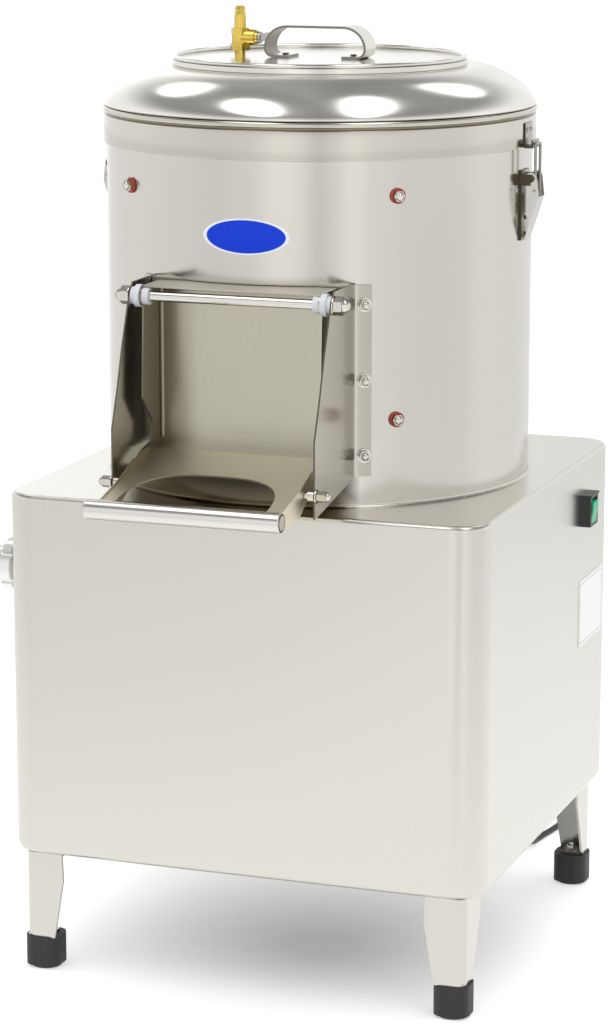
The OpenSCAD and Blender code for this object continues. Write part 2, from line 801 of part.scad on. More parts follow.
module door_bushes() {
    color("white") at_home() both_sides() translate([0, -rod_y, rod_height]) difference() {
        union() {
            rod_x(bush_r, door_x - 8, door_x);
            rod_x(collar_r, door_x - 8, door_x - door_t);
        }
        rod_x(rod_r + run_gap, door_x - 9, door_x + 1);
    }
}

// The door's flange from the side: distances in front of the axis, and heights
module door_flange_outline() {
    difference() {
        union() {
            polygon([
                [door_back, door_floor], [door_back, door_top], [rod_y + 2.5, door_top],
                [rod_y + 1.5, rod_height - 10], [rod_y + 5.5, mouth_roof - 81],
                [rod_y - 18.5, mouth_floor + 15], [rod_y - 20.5, mouth_floor + 6],
                [rod_y - 13.5, door_floor + 6], [rod_y + 10.5, door_floor + 1],
                [238, door_floor - door_t], [door_back, door_floor - door_t]
            ]);
            translate([rod_y, rod_height]) circle(r = bush_r + 2.4);
        }
        translate([rod_y, rod_height]) circle(r = bush_r);
        tray_flange_outline();
    }
}

module door_pan() {
    color(steel) at_home() {
        translate([-door_x, -door_back - door_t, door_floor - door_t])
            cube([2 * door_x, door_t, door_top - door_floor + door_t]);
        both_sides() translate([door_x - door_t, 0, 0]) rotate([90, 0, 90]) mirror([1, 0, 0])
            linear_extrude(door_t) door_flange_outline();
        translate([-door_x, -rod_y - 2, door_top - door_t])
            cube([2 * door_x, rod_y + 2 - door_back, door_t]);
        translate([-door_x, -238, door_floor - door_t])
            cube([2 * door_x, 238 - door_back, door_t]);
    }
}

tray_back = 238;
tray_front = bar_y - 2;
function tray_z(y) = door_floor - (y - tray_back) * tray_slope;

// The tray's flange from the side: distances in front of the axis, and heights
module tray_flange_outline() {
    polygon([
        [tray_back, door_floor], [tray_back + 23, door_floor + 2], [tray_back + 39, door_floor - 5],
        [tray_back + 43, door_floor - 3], [tray_back + 77, tray_z(tray_back + 77) + 1.5],
        [tray_front, tray_z(tray_front)], [tray_front, tray_z(tray_front) - 10],
        [tray_back + 122, door_floor - 45], [tray_back + 85, door_floor - 45],
        [tray_back + 28, door_floor - 12], [tray_back, door_floor - door_t]
    ]);
}

cut_x = 76;
cut_deep = 90;

function cutout_point(a) = [
    cut_x * sign(cos(a)) * pow(abs(cos(a)), 2 / 2.8),
    -bar_y + 17 + (cut_deep - 17) * pow(abs(sin(a)), 2 / 2.8)
];

module door_tray() {
    color(steel) at_home() difference() {
        union() {
            rotate([90, 0, 90]) translate([0, 0, -door_x]) mirror([1, 0, 0])
                linear_extrude(2 * door_x) polygon([
                    [tray_back, door_floor], [tray_front, tray_z(tray_front)],
                    [tray_front, tray_z(tray_front) - door_t], [tray_back, door_floor - door_t]
                ]);
            both_sides() translate([door_x - door_t, 0, 0]) rotate([90, 0, 90]) mirror([1, 0, 0])
                linear_extrude(door_t) tray_flange_outline();
        }
        translate([0, 0, bar_z - 10]) linear_extrude(60) union() {
            polygon([for (k = [0:40]) cutout_point(180 * k / 40)]);
            translate([-cut_x, -bar_y - 10]) square([2 * cut_x, 27.1]);
        }
        translate([0, -bar_y, bar_z]) rod_x(bar_r, -door_x - 1, door_x + 1);
    }
}

bar_wall = 1.5;

module handle_bar() {
    color(steel) at_home() translate([0, -bar_y, bar_z]) difference() {
        rod_x(bar_r, -bar_x, bar_x);
        rod_x(bar_r - bar_wall, -bar_x - 1, bar_x + 1);
    }
}

module bar_end_caps() {
    color([0.35, 0.35, 0.36]) at_home() both_sides() translate([bar_x, -bar_y, bar_z])
        rotate([0, 90, 0]) {
            translate([0, 0, -10]) cylinder(r = bar_r - bar_wall, h = 10);
            cylinder(r = bar_r, h = 1.2);
            translate([0, 0, 1.2]) cylinder(r1 = bar_r, r2 = bar_r - 1.2, h = 1.2);
        }
}

// Lid ---------------------------------------------------------------------

dome_power = 1.276;

// One side of the dome's shoulder as a rounded curve, from the bead to the flat
function shoulder(w, h, n = 24) = [for (k = [0:n]) let (a = 90 * k / n)
    [lid_r - shoulder_w + w * pow(max(cos(a), 0), dome_power), dome_z + h * pow(sin(a), dome_power)]];

module lid_dome() {
    outer = shoulder(shoulder_w, shoulder_h);
    inner = shoulder(shoulder_w - lid_t, shoulder_h - lid_t);
    color(steel) at_home() rotate_extrude() polygon(concat(
        outer, [[plateau_r, dome_z + shoulder_h], [plateau_r, dome_z + shoulder_h - lid_t]],
        [for (k = [len(inner) - 1:-1:0]) inner[k]]
    ));
}

// The skirt that the hooks sit on, its flange over the gasket and the rolled bead
module lid_band() {
    r = lid_r;
    color(steel) at_home() rotate_extrude() {
        translate([r - lid_t, skirt_top - skirt_h]) square([lid_t, skirt_h]);
        translate([drum_r - 8, skirt_top]) square([r - drum_r + 8, lid_t]);
        translate([r - lid_t, skirt_top]) square([lid_t, bead_h]);
        translate([r - lid_t, skirt_top + 0.4]) square([lid_t + 0.6, bead_h - 0.8]);
    }
}

module lid_gasket() {
    color(rubber) at_home() translate([0, 0, drum_top]) ring(drum_r + 0.6, drum_r - 7, gasket_t);
}

// The pressed top plate with its rolled rim, let into the dome
module lid_top_pan() {
    z = dome_z + shoulder_h;
    t = 1.6;
    bead = 2.4;
    color(steel) at_home() difference() {
        rotate_extrude() {
            translate([0, plateau_z - 2 - t]) square([plateau_r - bead, t]);
            translate([plateau_r - t, z - lid_t - 2]) square([t, plateau_h + lid_t + 2 - bead]);
            translate([plateau_r - t - 1.5, plateau_z - 0.4]) circle(r = bead);
            translate([plateau_r - t, z - lid_t - t]) square([8, t]);
        }
        translate([-inlet_x, 0, plateau_z - 20]) cylinder(r = inlet_r, h = 40);
        for (sx = [-1, 1]) translate([sx * rivet_x, 0, plateau_z - 20]) cylinder(r = 2.5, h = 40);
    }
}

inlet_r = 5.5;
seat_z = plateau_z - 2;
foot_bend = 9.5;
foot_l = 26;
rivet_x = handle_x - 18;

// The strap's outer side: feet turned in, a small bend up and a wide arch
function handle_path() = let (a = handle_x - handle_top_x, b = handle_h - foot_bend) concat(
    [[-handle_x + foot_l, seat_z]],
    arc_points([-handle_x + foot_bend, seat_z + foot_bend], foot_bend, 270, 180, 8),
    [for (i = [1:14]) [-handle_top_x - a * cos(90 * i / 14), seat_z + foot_bend + b * sin(90 * i / 14)]],
    [for (i = [14:-1:1]) [handle_top_x + a * cos(90 * i / 14), seat_z + foot_bend + b * sin(90 * i / 14)]],
    arc_points([handle_x - foot_bend, seat_z + foot_bend], foot_bend, 0, -90, 8),
    [[handle_x - foot_l, seat_z]]
);

module lid_handle() {
    color(steel) at_home() {
        difference() {
            translate([0, strap_w / 2, 0]) rotate([90, 0, 0]) linear_extrude(strap_w)
                strip(handle_path(), strap_t);
            for (sx = [-1, 1]) translate([sx * rivet_x, 0, seat_z - 1])
                cylinder(r = 2.5, h = strap_t + 2);
        }
        for (sx = [-1, 1]) translate([sx * rivet_x, 0, seat_z]) {
            translate([0, 0, -3]) cylinder(r = 2.5, h = strap_t + 3);
            translate([0, 0, strap_t]) cylinder(r1 = 4.2, r2 = 2.6, h = 1.6);
            translate([0, 0, -3.2]) cylinder(r = 4.2, h = 1.6);
        }
    }
}

// Water inlet ---------------------------------------------------------------

brass = [0.8, 0.62, 0.25];
body_z = seat_z + 5.5;
body_l = 30;
body_top = body_z + 22.5;
body_r = 9.5;
stem_z = body_z + 13;
stem_r = 8;
cock_r = 4;

// Spray nozzle and lock nut under the lid, with the thread through it
module inlet_nozzle() {
    color(brass) at_home() translate([-inlet_x, 0, 0]) difference() {
        union() {
            translate([0, 0, seat_z - 12]) cylinder(r = inlet_r, h = 12);
            translate([0, 0, seat_z - 1.6 - 5]) hex(17, 5);
            translate([0, 0, seat_z - 26]) cylinder(r1 = 9, r2 = inlet_r, h = 14);
        }
        translate([0, 0, seat_z - 22]) cylinder(r = 3, h = 23);
        for (k = [0:5]) rotate([0, 0, 60 * k]) translate([5, 0, seat_z - 27]) cylinder(r = 1, h = 8);
    }
}

module valve_body() {
    color(brass) at_home() translate([-inlet_x, 0, 0]) difference() {
        union() {
            translate([0, 0, seat_z]) cylinder(r = inlet_r, h = 5.5);
            translate([0, 0, body_z]) hex(2 * body_r, 7);
            translate([0, 0, body_z + 7]) cylinder(r = body_r - 1, h = 9);
            translate([0, 0, body_z + 16]) hex(2 * body_r - 2, 6.5);
            translate([0, 0, body_top]) cylinder(r = barb_r, h = barb_l);
            for (k = [0, 1]) translate([0, 0, body_top + barb_l + 4.5 * k - 0.1]) {
                cylinder(r = barb_r - 1.3, h = 1);
                translate([0, 0, 0.9]) cylinder(r1 = barb_r - 0.05, r2 = barb_r - 1.3, h = 3.7);
            }
            translate([0, 0, stem_z]) rod_x(stem_r, 0, 17);
            translate([0, 0, stem_z]) rod_x(stem_r - 1.5, 16.9, 20);
        }
        translate([0, 0, body_top - 6]) cylinder(r = barb_r - 2, h = barb_l + 30);
        translate([0, 0, seat_z - 1]) cylinder(r = 3, h = 12);
        translate([0, 0, stem_z]) rod_x(cock_r + run_gap, -5, 21);
    }
}

// The plug that turns in the body and the small lever on its end
module valve_lever() {
    color([0.75, 0.76, 0.77]) at_home() translate([-inlet_x, 0, stem_z]) {
        difference() {
            rod_x(cock_r, -4, 24);
            cylinder(r = 2.8, h = 20, center = true);
        }
        rod_x(6, 20.5, 23);
        translate([20.5, -4, -4]) cube([3.2, 26, 8]);
        translate([20.5, 22, 0]) rotate([0, 90, 0]) cylinder(r = 4, h = 3.2);
    }
}

// Latches -----------------------------------------------------------------

pin_r = 2;
wire_r = 1.5;
lever_t = 1.2;
ear_y = latch_w / 2 + 0.7;
arm_y = latch_w / 2 - 3.5;
pad_t = 2;
hook_z = bar_top_z - 4;
lip_x = bail_x - wire_r - 0.5;

// A curved pad on the drum or the skirt, on the machine's right
module side_pad(r, t, half_w, z0, z1) {
    a = asin(half_w / r);
    translate([0, 0, z0]) arc_plate(r + t, r, z1 - z0, 90 - a, 90 + a);
}

module lid_hooks() {
    t = 1.5;
    color(steel) at_home() both_sides() {
        side_pad(lid_r, t, latch_w / 2, hook_z, hook_z + 25);
        translate([lid_r + 0.5, latch_w / 2, 0]) rotate([90, 0, 0]) linear_extrude(latch_w) {
            translate([0, hook_z]) square([lip_x - lid_r - 0.5, t]);
            translate([lip_x - lid_r - 0.5 - t, hook_z]) square([t, 8]);
        }
        for (sy = [-1, 1]) translate([lid_r + t - 0.2, sy * 7, hook_z + 18]) rotate([0, 90, 0])
            cylinder(r1 = 2.6, r2 = 1.6, h = 1.4);
    }
}

module latch_bases() {
    r = drum_r;
    foot_x = sqrt(r * r - ear_y * ear_y) + 0.01;
    low = pivot_z - 62;
    color(steel) at_home() both_sides() {
        side_pad(r, pad_t, ear_y + 0.8, low, pivot_z + 8);
        for (sy = [-1, 1]) {
            translate([foot_x, sy * (ear_y + 0.75), 0]) rotate([90, 0, 0]) translate([0, 0, -0.75])
                linear_extrude(1.5) {
                    translate([pivot_x - foot_x, pivot_z]) circle(r = 4);
                    translate([0, pivot_z - 7]) square([pivot_x - foot_x, 11]);
                }
            translate([pivot_x, 0, pivot_z]) rod_y_dir(pin_r,
                sy > 0 ? latch_w / 2 - lever_t - 0.5 : -ear_y - 1.5,
                sy > 0 ? ear_y + 1.5 : -latch_w / 2 + lever_t + 0.5);
            translate([r + pad_t - 0.2, 0, sy > 0 ? low + 6 : low + 22]) rotate([0, 90, 0])
                cylinder(r1 = 2.8, r2 = 1.8, h = 1.5);
        }
    }
}

// The lever seen from the side: two cheeks and the web that they are bent from; the web
// slopes in to the base, so the shut lever narrows to its finger end
module latch_lever(side) {
    end_z = pivot_z + 8 - latch_l;
    top = [pivot_x + 8, bail_z - 6];
    tip = [pivot_x - 5, end_z + 2];
    waist = tip + (end_z + 18 - tip[1]) / (top[1] - tip[1]) * (top - tip);
    color(steel) at_home() mirror([side < 0 ? 1 : 0, 0, 0]) difference() {
        union() {
            for (sy = [-1, 1]) translate([0, sy * (latch_w / 2 - lever_t / 2), 0]) rotate([90, 0, 0])
                translate([0, 0, -lever_t / 2]) linear_extrude(lever_t) {
                    translate([pivot_x, pivot_z]) circle(r = 6);
                    polygon([[pivot_x - 4, pivot_z - 4], [pivot_x - 4, end_z + 26],
                             waist, top, [pivot_x + 6, pivot_z]]);
                }
            translate([0, latch_w / 2, 0]) rotate([90, 0, 0]) linear_extrude(latch_w)
                strip([top, tip, [tip[0] + 1, end_z]], lever_t);
        }
        for (s = [0, 1]) mirror([0, s, 0]) translate([pivot_x - 12, 0, 0]) rotate([90, 0, 90])
            linear_extrude(24) polygon([[latch_w / 2 + 1, end_z + 17.5], [latch_w / 2, end_z + 17.5],
                                        [latch_w / 2 - 3.5, end_z - 1], [latch_w / 2 + 1, end_z - 1]]);
        translate([pivot_x, 0, pivot_z]) rod_y_dir(pin_r + run_gap, -latch_w, latch_w);
        translate([bail_x, 0, bail_z]) rod_y_dir(wire_r + run_gap, -latch_w, latch_w);
    }
}

module latch_lever_right() { latch_lever(1); }
module latch_lever_left() { latch_lever(-1); }

// A wire loop: two feet in the lever's cheeks, two arms and the bar that holds the hook
module latch_bail(side) {
    color(steel) at_home() mirror([side < 0 ? 1 : 0, 0, 0]) translate([bail_x, 0, 0]) {
        translate([0, 0, bar_top_z]) rod_y_dir(wire_r, -arm_y, arm_y);
        for (sy = [-1, 1]) {
            translate([0, sy * arm_y, bail_z]) cylinder(r = wire_r, h = bar_top_z - bail_z);
            translate([0, sy * arm_y, bar_top_z]) sphere(r = wire_r);
            translate([0, sy * arm_y, bail_z]) sphere(r = wire_r);
            translate([0, 0, bail_z]) rod_y_dir(wire_r,
                sy > 0 ? arm_y : -latch_w / 2 - 0.3, sy > 0 ? latch_w / 2 + 0.3 : -arm_y);
        }
    }
}

module latch_bail_right() { latch_bail(1); }
module latch_bail_left() { latch_bail(-1); }

// Switch and plates ---------------------------------------------------------

rocker_w = switch_w - 11;
rocker_l = switch_h - 7;
rocker_pin_r = 2;
rocker_axis = 1;

module switch_housing() {
    x = cabinet_w / 2;
    color(rubber) at_home() translate([x, switch_y, switch_z]) difference() {
        union() {
            translate([0, -switch_w / 2, -switch_h / 2]) cube([switch_out, switch_w, switch_h]);
            translate([-24, -switch_w / 2 + 2, -switch_h / 2 + 1]) cube([24.1, switch_w - 4, switch_h - 2]);
            translate([0, -switch_w / 2 - 1, switch_h / 2 - 0.5]) cube([switch_out + 1, switch_w + 2, 2.5]);
        }
        translate([-20, -rocker_w / 2 - 0.5, -rocker_l / 2 - 1.5]) cube([40, rocker_w + 1, rocker_l + 3]);
        translate([rocker_axis, 0, 0])
            rod_y_dir(rocker_pin_r + run_gap, -rocker_w / 2 - 3, rocker_w / 2 + 3);
    }
}

// The green rocker: a hollow-faced cap on a pin, tilted to one side at rest
module switch_rocker() {
    bow = 46;
    turn_r = norm([rocker_l / 2, 10.3]);
    color([0.2, 0.68, 0.5]) at_home() translate([cabinet_w / 2, switch_y, switch_z]) {
        intersection() {
            translate([rocker_axis, 0, 0]) rotate([0, rocker_deg, 0]) difference() {
                intersection() {
                    rod_y_dir(turn_r, -rocker_w / 2, rocker_w / 2);
                    translate([-3, -rocker_w / 2, -rocker_l / 2 + 1]) cube([30, rocker_w, rocker_l - 2]);
                }
                translate([rocker_out - 1.5 + bow, 0, 0]) rod_y_dir(bow, -rocker_w, rocker_w);
            }
            translate([-5, -rocker_w, -rocker_l]) cube([5 + rocker_out, 2 * rocker_w, 2 * rocker_l]);
        }
        translate([rocker_axis, 0, 0]) rod_y_dir(rocker_pin_r, -rocker_w / 2 - 2.5, rocker_w / 2 + 2.5);
    }
}

// An oval plate that follows the drum's wall
module badge() {
    z = top_z + 264;
    color([0.1, 0.3, 0.65]) at_home() intersection() {
        translate([0, 0, z - badge_h]) ring(drum_r + 0.8, drum_r, 2 * badge_h);
        translate([0, 0, z]) rotate([90, 0, 0]) linear_extrude(drum_r + 5)
            polygon([for (k = [0:59]) [badge_w / 2 * cos(6 * k), badge_h / 2 * sin(6 * k)]]);
    }
}

module rating_plate() {
    color("white") at_home() difference() {
        translate([cabinet_w / 2, plate_y - plate_w / 2, plate_mid_z - plate_h / 2])
            cube([0.8, plate_w, plate_h]);
        for (sy = [-1, 1], sz = [-1, 1]) translate([cabinet_w / 2 - 1,
            plate_y + sy * (plate_w / 2 - 4), plate_mid_z + sz * (plate_h / 2 - 4)])
            rotate([0, 90, 0]) cylinder(r = 1.5, h = 3);
    }
}

// Drive ---------------------------------------------------------------------

housing_r = 30;
bush_outer = spindle_r + 5;
bush_l = 24;
housing_low = sump_z - 80;
housing_high = sump_z + 18;
groove = 6;
pulley_h = belt_w + 8;
shaft_r = 9;
disc_z = sump_z + disc_lift;

module motor() {
    low = plate_z - 4 - motor_h;
    color([0.42, 0.45, 0.5]) at_home() translate([motor_x, motor_y, 0]) difference() {
        union() {
            translate([0, 0, low + 34]) cylinder(r = motor_r, h = motor_h - 34);
            translate([0, 0, low]) cylinder(r = motor_r - 4, h = 34);
            translate([-28, motor_r - 10, low + 60]) cube([56, 34, 62]);
        }
        for (k = [0:23]) rotate([0, 0, 15 * k + 7.5])
            translate([motor_r - 4, -2.4, low + 44]) cube([10, 4.8, motor_h - 58]);
        translate([0, 0, plate_z - 40]) cylinder(r = shaft_r + run_gap, h = 60);
    }
}

module motor_plate() {
    w = cabinet_w - 2 * cabinet_t;
    d = 2 * motor_r + 16;
    color(steel) at_home() difference() {
        union() {
            translate([-w / 2, motor_y - d / 2, plate_z - 4]) cube([w, d, 4]);
            both_sides() translate([w / 2 - 4, motor_y - d / 2, plate_z - 4]) cube([4, d, 30]);
        }
        translate([motor_x, motor_y, plate_z - 5]) cylinder(r = shaft_r + 12, h = 6);
    }
}

module pulley(r, bore) {
    rotate_extrude() difference() {
        translate([bore, -pulley_h / 2]) square([r - bore, pulley_h]);
        translate([r - groove, -belt_w / 2 - 0.5]) square([groove + 1, belt_w + 1]);
    }
}

module motor_pulley() {
    color(steel) at_home() translate([motor_x, motor_y, 0]) {
        translate([0, 0, belt_z]) pulley(drive_r, shaft_r - eps);
        translate([0, 0, plate_z - 38]) cylinder(r = shaft_r, h = belt_z - plate_z + 38 + pulley_h);
    }
}

// Both runs of a belt round two circles, a distance apart along X
module belt_outline(r0, r1, gap) {
    a = acos((r0 - r1) / gap);
    circle(r = r0);
    translate([gap, 0]) circle(r = r1);
    polygon([[r0 * cos(a), r0 * sin(a)], [r0 * cos(a), -r0 * sin(a)],
             [gap + r1 * cos(a), -r1 * sin(a)], [gap + r1 * cos(a), r1 * sin(a)]]);
}

module drive_belt() {
    in = groove - 0.3;
    thick = 7;
    color(rubber) at_home() rotate([0, 0, atan2(motor_y, motor_x)])
        translate([0, 0, belt_z - belt_w / 2]) linear_extrude(belt_w) difference() {
            belt_outline(driven_r - in + thick, drive_r - in + thick, shaft_gap);
            belt_outline(driven_r - in, drive_r - in, shaft_gap);
        }
}

module driven_pulley() {
    color(steel) at_home() difference() {
        translate([0, 0, belt_z]) pulley(driven_r, spindle_r);
        for (k = [0:4]) rotate([0, 0, 72 * k]) translate([driven_r * 0.55, 0, belt_z - pulley_h])
            cylinder(r = driven_r * 0.16, h = 2 * pulley_h);
    }
}

module spindle() {
    color(steel) at_home() {
        translate([0, 0, belt_z - pulley_h / 2 - 5]) cylinder(r = spindle_r, h = disc_z + 4 - belt_z + pulley_h / 2 + 5);
        translate([0, 0, disc_z]) cylinder(r = 6, h = disc_t + 10);
        translate([0, 0, disc_z + disc_t + 10]) hex(19, 8);
        translate([0, 0, disc_z + disc_t + 18]) intersection() {
            translate([0, 0, -2]) sphere(r = 9);
            cylinder(r = 12, h = 12);
        }
        translate([0, 0, belt_z - pulley_h / 2 - 9]) hex(2 * spindle_r - 2, 5);
    }
}

module bearing_housing() {
    color([0.5, 0.52, 0.55]) at_home() difference() {
        union() {
            translate([0, 0, housing_low]) cylinder(r = housing_r, h = housing_high - housing_low);
            translate([0, 0, sump_z - sump_t - 8]) cylinder(r = housing_r + 20, h = 8);
            for (k = [0:5]) rotate([0, 0, 60 * k + 15]) translate([housing_r - 2, -3, sump_z - sump_t - 50])
                cube([14, 6, 44]);
        }
        translate([0, 0, housing_low - 1]) cylinder(r = bush_outer, h = housing_high - housing_low + 2);
    }
}

module bearing_bushes() {
    color(brass) at_home() for (z = [housing_low, housing_high - bush_l]) translate([0, 0, z])
        ring(bush_outer, spindle_r + run_gap, bush_l);
}

// The cast disc with its ridges, its hub and two scraper blades below
module abrasive_disc() {
    half = 34;
    bow = (half * half + ridge_h * ridge_h) / (2 * ridge_h);
    color([0.28, 0.29, 0.29]) at_home() difference() {
        union() {
            translate([0, 0, disc_z]) cylinder(r = disc_r, h = disc_t);
            translate([0, 0, disc_z - 36]) cylinder(r = 26, h = 37);
            translate([0, 0, disc_z + disc_t]) cylinder(r1 = 34, r2 = 22, h = 10);
            for (k = [0:ridge_count - 1]) rotate([0, 0, 360 * k / ridge_count + 40]) intersection() {
                translate([0, 0, disc_z + disc_t + ridge_h - bow]) rod_x(bow, 20, disc_r - 10);
                translate([0, -half, disc_z + disc_t - 1]) cube([disc_r, 2 * half, ridge_h + 2]);
            }
            for (k = [0, 1]) rotate([0, 0, 180 * k]) translate([38, -1.5, sump_z + 6])
                cube([disc_r - 48, 3, disc_lift - 5.5]);
        }
        translate([0, 0, disc_z - 40]) cylinder(r = spindle_r, h = 44);
        translate([0, 0, disc_z - 1]) cylinder(r = 6, h = disc_t + 20);
    }
}

// Gland and cord --------------------------------------------------------------

boot_l = 24;
cord_start = [gland_x, cabinet_d / 2 + boot_l, gland_z];
coil_at = [52, cabinet_d / 2 + 155];
turn_r = 42;
lying = cord_r + 0.02;

module cable_gland() {
    color(rubber) at_home() translate([gland_x, cabinet_d / 2, gland_z]) rotate([-90, 0, 0]) {
        translate([0, 0, -cabinet_t - 5]) hex(19, 5);
        translate([0, 0, -cabinet_t - 5]) cylinder(r = thread_r, h = cabinet_t + 5);
        hex(19, 6);
        translate([0, 0, 6]) cylinder(r1 = 8, r2 = cord_r, h = boot_l - 6);
    }
}

// Points that the cord's middle passes: out of the gland, down, along the floor
cord_points = [
    cord_start, cord_start + [0.3, 12.2, -2.4], cord_start + [0.6, 22.6, -9.4],
    cord_start + [0.9, 29.6, -19.8], [gland_x + 1.2, cord_start[1] + 32, gland_z - 34],
    [gland_x + 1.8, cord_start[1] + 32, 90], [gland_x + 2.4, cord_start[1] + 32, 62],
    [gland_x + 3, cord_start[1] + 32, 41.5], [gland_x + 3.5, cord_start[1] + 35.6, 25.4],
    [gland_x + 4, cord_start[1] + 45.6, 12.4], [gland_x + 4.4, cord_start[1] + 58.3, 5.4],
    [gland_x + 5.4, cord_start[1] + 73, lying + 0.4], [gland_x + 8, cord_start[1] + 91, lying + 0.05],
    [gland_x + 12, cord_start[1] + 113, lying], [gland_x + 14.6, cord_start[1] + 133, lying],
    [gland_x + 14, cord_start[1] + 151, lying], [gland_x + 9, cord_start[1] + 168, lying],
    [gland_x - 2, cord_start[1] + 181, lying], [gland_x - 18, cord_start[1] + 188.5, lying],
    [gland_x - 37, cord_start[1] + 190.4, lying], [gland_x - 56, cord_start[1] + 188.2, lying],
    [gland_x - 72, cord_start[1] + 183.6, lying], [coil_at[0], coil_at[1] + turn_r + 8, lying]
];

function tangent_at(p, i) = unit(p[min(i + 1, len(p) - 1)] - p[max(i - 1, 0)]);

function halfway(p, i) = let (n = len(p),
    a = p[max(i - 1, 0)], b = p[i], c = p[i + 1], d = p[min(i + 2, n - 1)])
    (b + c) * 9 / 16 - (a + d) / 16;

function refine(p) = [for (i = [0:len(p) - 1]) each i < len(p) - 1 ? [p[i], halfway(p, i)] : [p[i]]];

// A round tube of radius r along the points p
module tube(p, r, sides = 10) {
    n = len(p);
    rings = [for (i = [0:n - 1]) let (
        t = i == 0 ? [0, 1, 0] : i == n - 1 ? [-1, 0, 0] : tangent_at(p, i),
        u = unit(cross(t, [1, 0.02, 0.3])), v = cross(t, u))
        [for (k = [0:sides - 1]) p[i] + r * (cos(360 * k / sides) * u + sin(360 * k / sides) * v)]];
    polyhedron(
        points = [for (g = rings) each g],
        faces = concat(
            [[for (k = [0:sides - 1]) k]],
            [for (i = [0:n - 2], k = [0:sides - 1]) let (a = i * sides, b = (k + 1) % sides)
                [a + k, a + sides + k, a + sides + b, a + b]],
            [[for (k = [sides - 1:-1:0]) (n - 1) * sides + k]]),
        convexity = 4);
}

module power_cord() { color(rubber) at_home() tube(refine(cord_points), cord_r); }

// Five turns in two layers, a little fat so that neighbouring turns join
module cord_coil() {
    fat = cord_r + 0.15;
    layer = 2 * cord_r * 0.87;
    color(rubber) at_home() translate([coil_at[0], coil_at[1], fat]) rotate_extrude() {
        for (k = [-1:1]) translate([turn_r + 2 * k * cord_r, 0]) circle(r = fat, $fn = 24);
        for (k = [-1, 1]) translate([turn_r + k * cord_r, layer]) circle(r = fat, $fn = 24);
        translate([turn_r - 2 * cord_r, -1]) square([4 * cord_r, layer]);
    }
}

plug_r = 18;

module plug() {
    color(rubber) at_home() translate([coil_at[0] - turn_r - 2 * cord_r - 4, coil_at[1] - 12, plug_r])
        rotate([90, 0, 0]) {
            // The boot thickens on the side away from the floor
            translate([0, cord_r - plug_r, 0]) cylinder(r = cord_r, h = 14);
            translate([0, cord_r + 2.2 - plug_r, 12]) cylinder(r1 = cord_r + 0.6, r2 = cord_r + 2, h = 20);
            translate([0, cord_r + 2.2 - plug_r, 30]) cylinder(r = cord_r + 1.9, h = 4);
            translate([0, 0, 34]) cylinder(r1 = 14, r2 = plug_r, h = 12);
            translate([0, 0, 46]) cylinder(r = plug_r, h = 22);
            for (sx = [-1, 1]) translate([9.5 * sx, 0, 68]) cylinder(r = 2.4, h = 19);
        }
}

// Each sub-part alone, or all of them
cabinet_shell();
rear_panel();
rear_panel_screws();
leg_front_left();
leg_front_right();
leg_rear_left();
leg_rear_right();
rubber_feet();
leg_bolts();
drum_wall();
sump_pan();
drain_pipe();
drain_union_nut();
drain_hose_tail();
liner_panels();
liner_bolts();
liner_washers();
chute_cheek_left();
chute_cheek_right();
chute_bolts();
mouth_frame();
door_seal();
hinge_rod();
rod_spacers();
door_bushes();
door_pan();
door_tray();
handle_bar();
bar_end_caps();
lid_dome();
lid_band();
lid_top_pan();
lid_gasket();
lid_handle();
inlet_nozzle();
valve_body();
valve_lever();
lid_hooks();
latch_bases();
latch_lever_left();
latch_lever_right();
latch_bail_left();
latch_bail_right();
switch_housing();
switch_rocker();
badge();
rating_plate();
motor();
motor_plate();
motor_pulley();
drive_belt();
driven_pulley();
spindle();
bearing_housing();
bearing_bushes();
abrasive_disc();
cable_gland();
power_cord();
cord_coil();
plug();
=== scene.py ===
import math

import bmesh
import bpy
from mathutils import Matrix, Vector


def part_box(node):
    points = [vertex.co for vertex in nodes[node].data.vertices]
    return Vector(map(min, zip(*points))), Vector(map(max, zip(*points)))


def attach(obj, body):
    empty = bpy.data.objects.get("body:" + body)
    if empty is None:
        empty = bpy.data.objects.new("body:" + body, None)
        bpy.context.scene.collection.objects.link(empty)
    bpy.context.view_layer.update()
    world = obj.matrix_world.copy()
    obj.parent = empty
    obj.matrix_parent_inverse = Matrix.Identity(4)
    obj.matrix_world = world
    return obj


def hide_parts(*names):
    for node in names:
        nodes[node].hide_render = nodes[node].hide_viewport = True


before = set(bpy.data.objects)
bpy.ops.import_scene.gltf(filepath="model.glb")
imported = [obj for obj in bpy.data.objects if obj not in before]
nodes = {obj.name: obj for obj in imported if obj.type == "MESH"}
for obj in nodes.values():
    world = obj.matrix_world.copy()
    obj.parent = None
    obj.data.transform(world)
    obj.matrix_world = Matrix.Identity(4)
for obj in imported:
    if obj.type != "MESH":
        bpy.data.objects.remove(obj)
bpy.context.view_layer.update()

# Datum. The machine's axes: the drum stands over this point of the floor, and every
# size below is in millimetres from it, as on a maker's drawing.
foot_low, foot_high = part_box("rubber_feet")
DRUM_X = (foot_low.x + foot_high.x) / 2 * 1000
DRUM_Y = (foot_low.y + foot_high.y) / 2 * 1000


def at(x, y, z):
    """A drawing point in millimetres as a scene point in metres."""
    return Vector(((x + DRUM_X) / 1000, (y + DRUM_Y) / 1000, z / 1000))


# Camera. A long lens stands in front and to the right of the machine, a little above its
# lid, and is shifted so that the machine sits in the middle of the frame.
CAMERA_AT = at(1121.42, -3184.90, 1167.33)
CAMERA_AZ = math.radians(19.824)
CAMERA_EL = math.radians(12.252)
CAMERA_ROLL = math.radians(-0.031)
LENS = 116.46
LENS_SHIFT = (0.00858, 0.01165)


def put_in(name, data):
    """Puts a new object in the scene."""
    made = bpy.data.objects.new(name, data)
    bpy.context.scene.collection.objects.link(made)
    return made


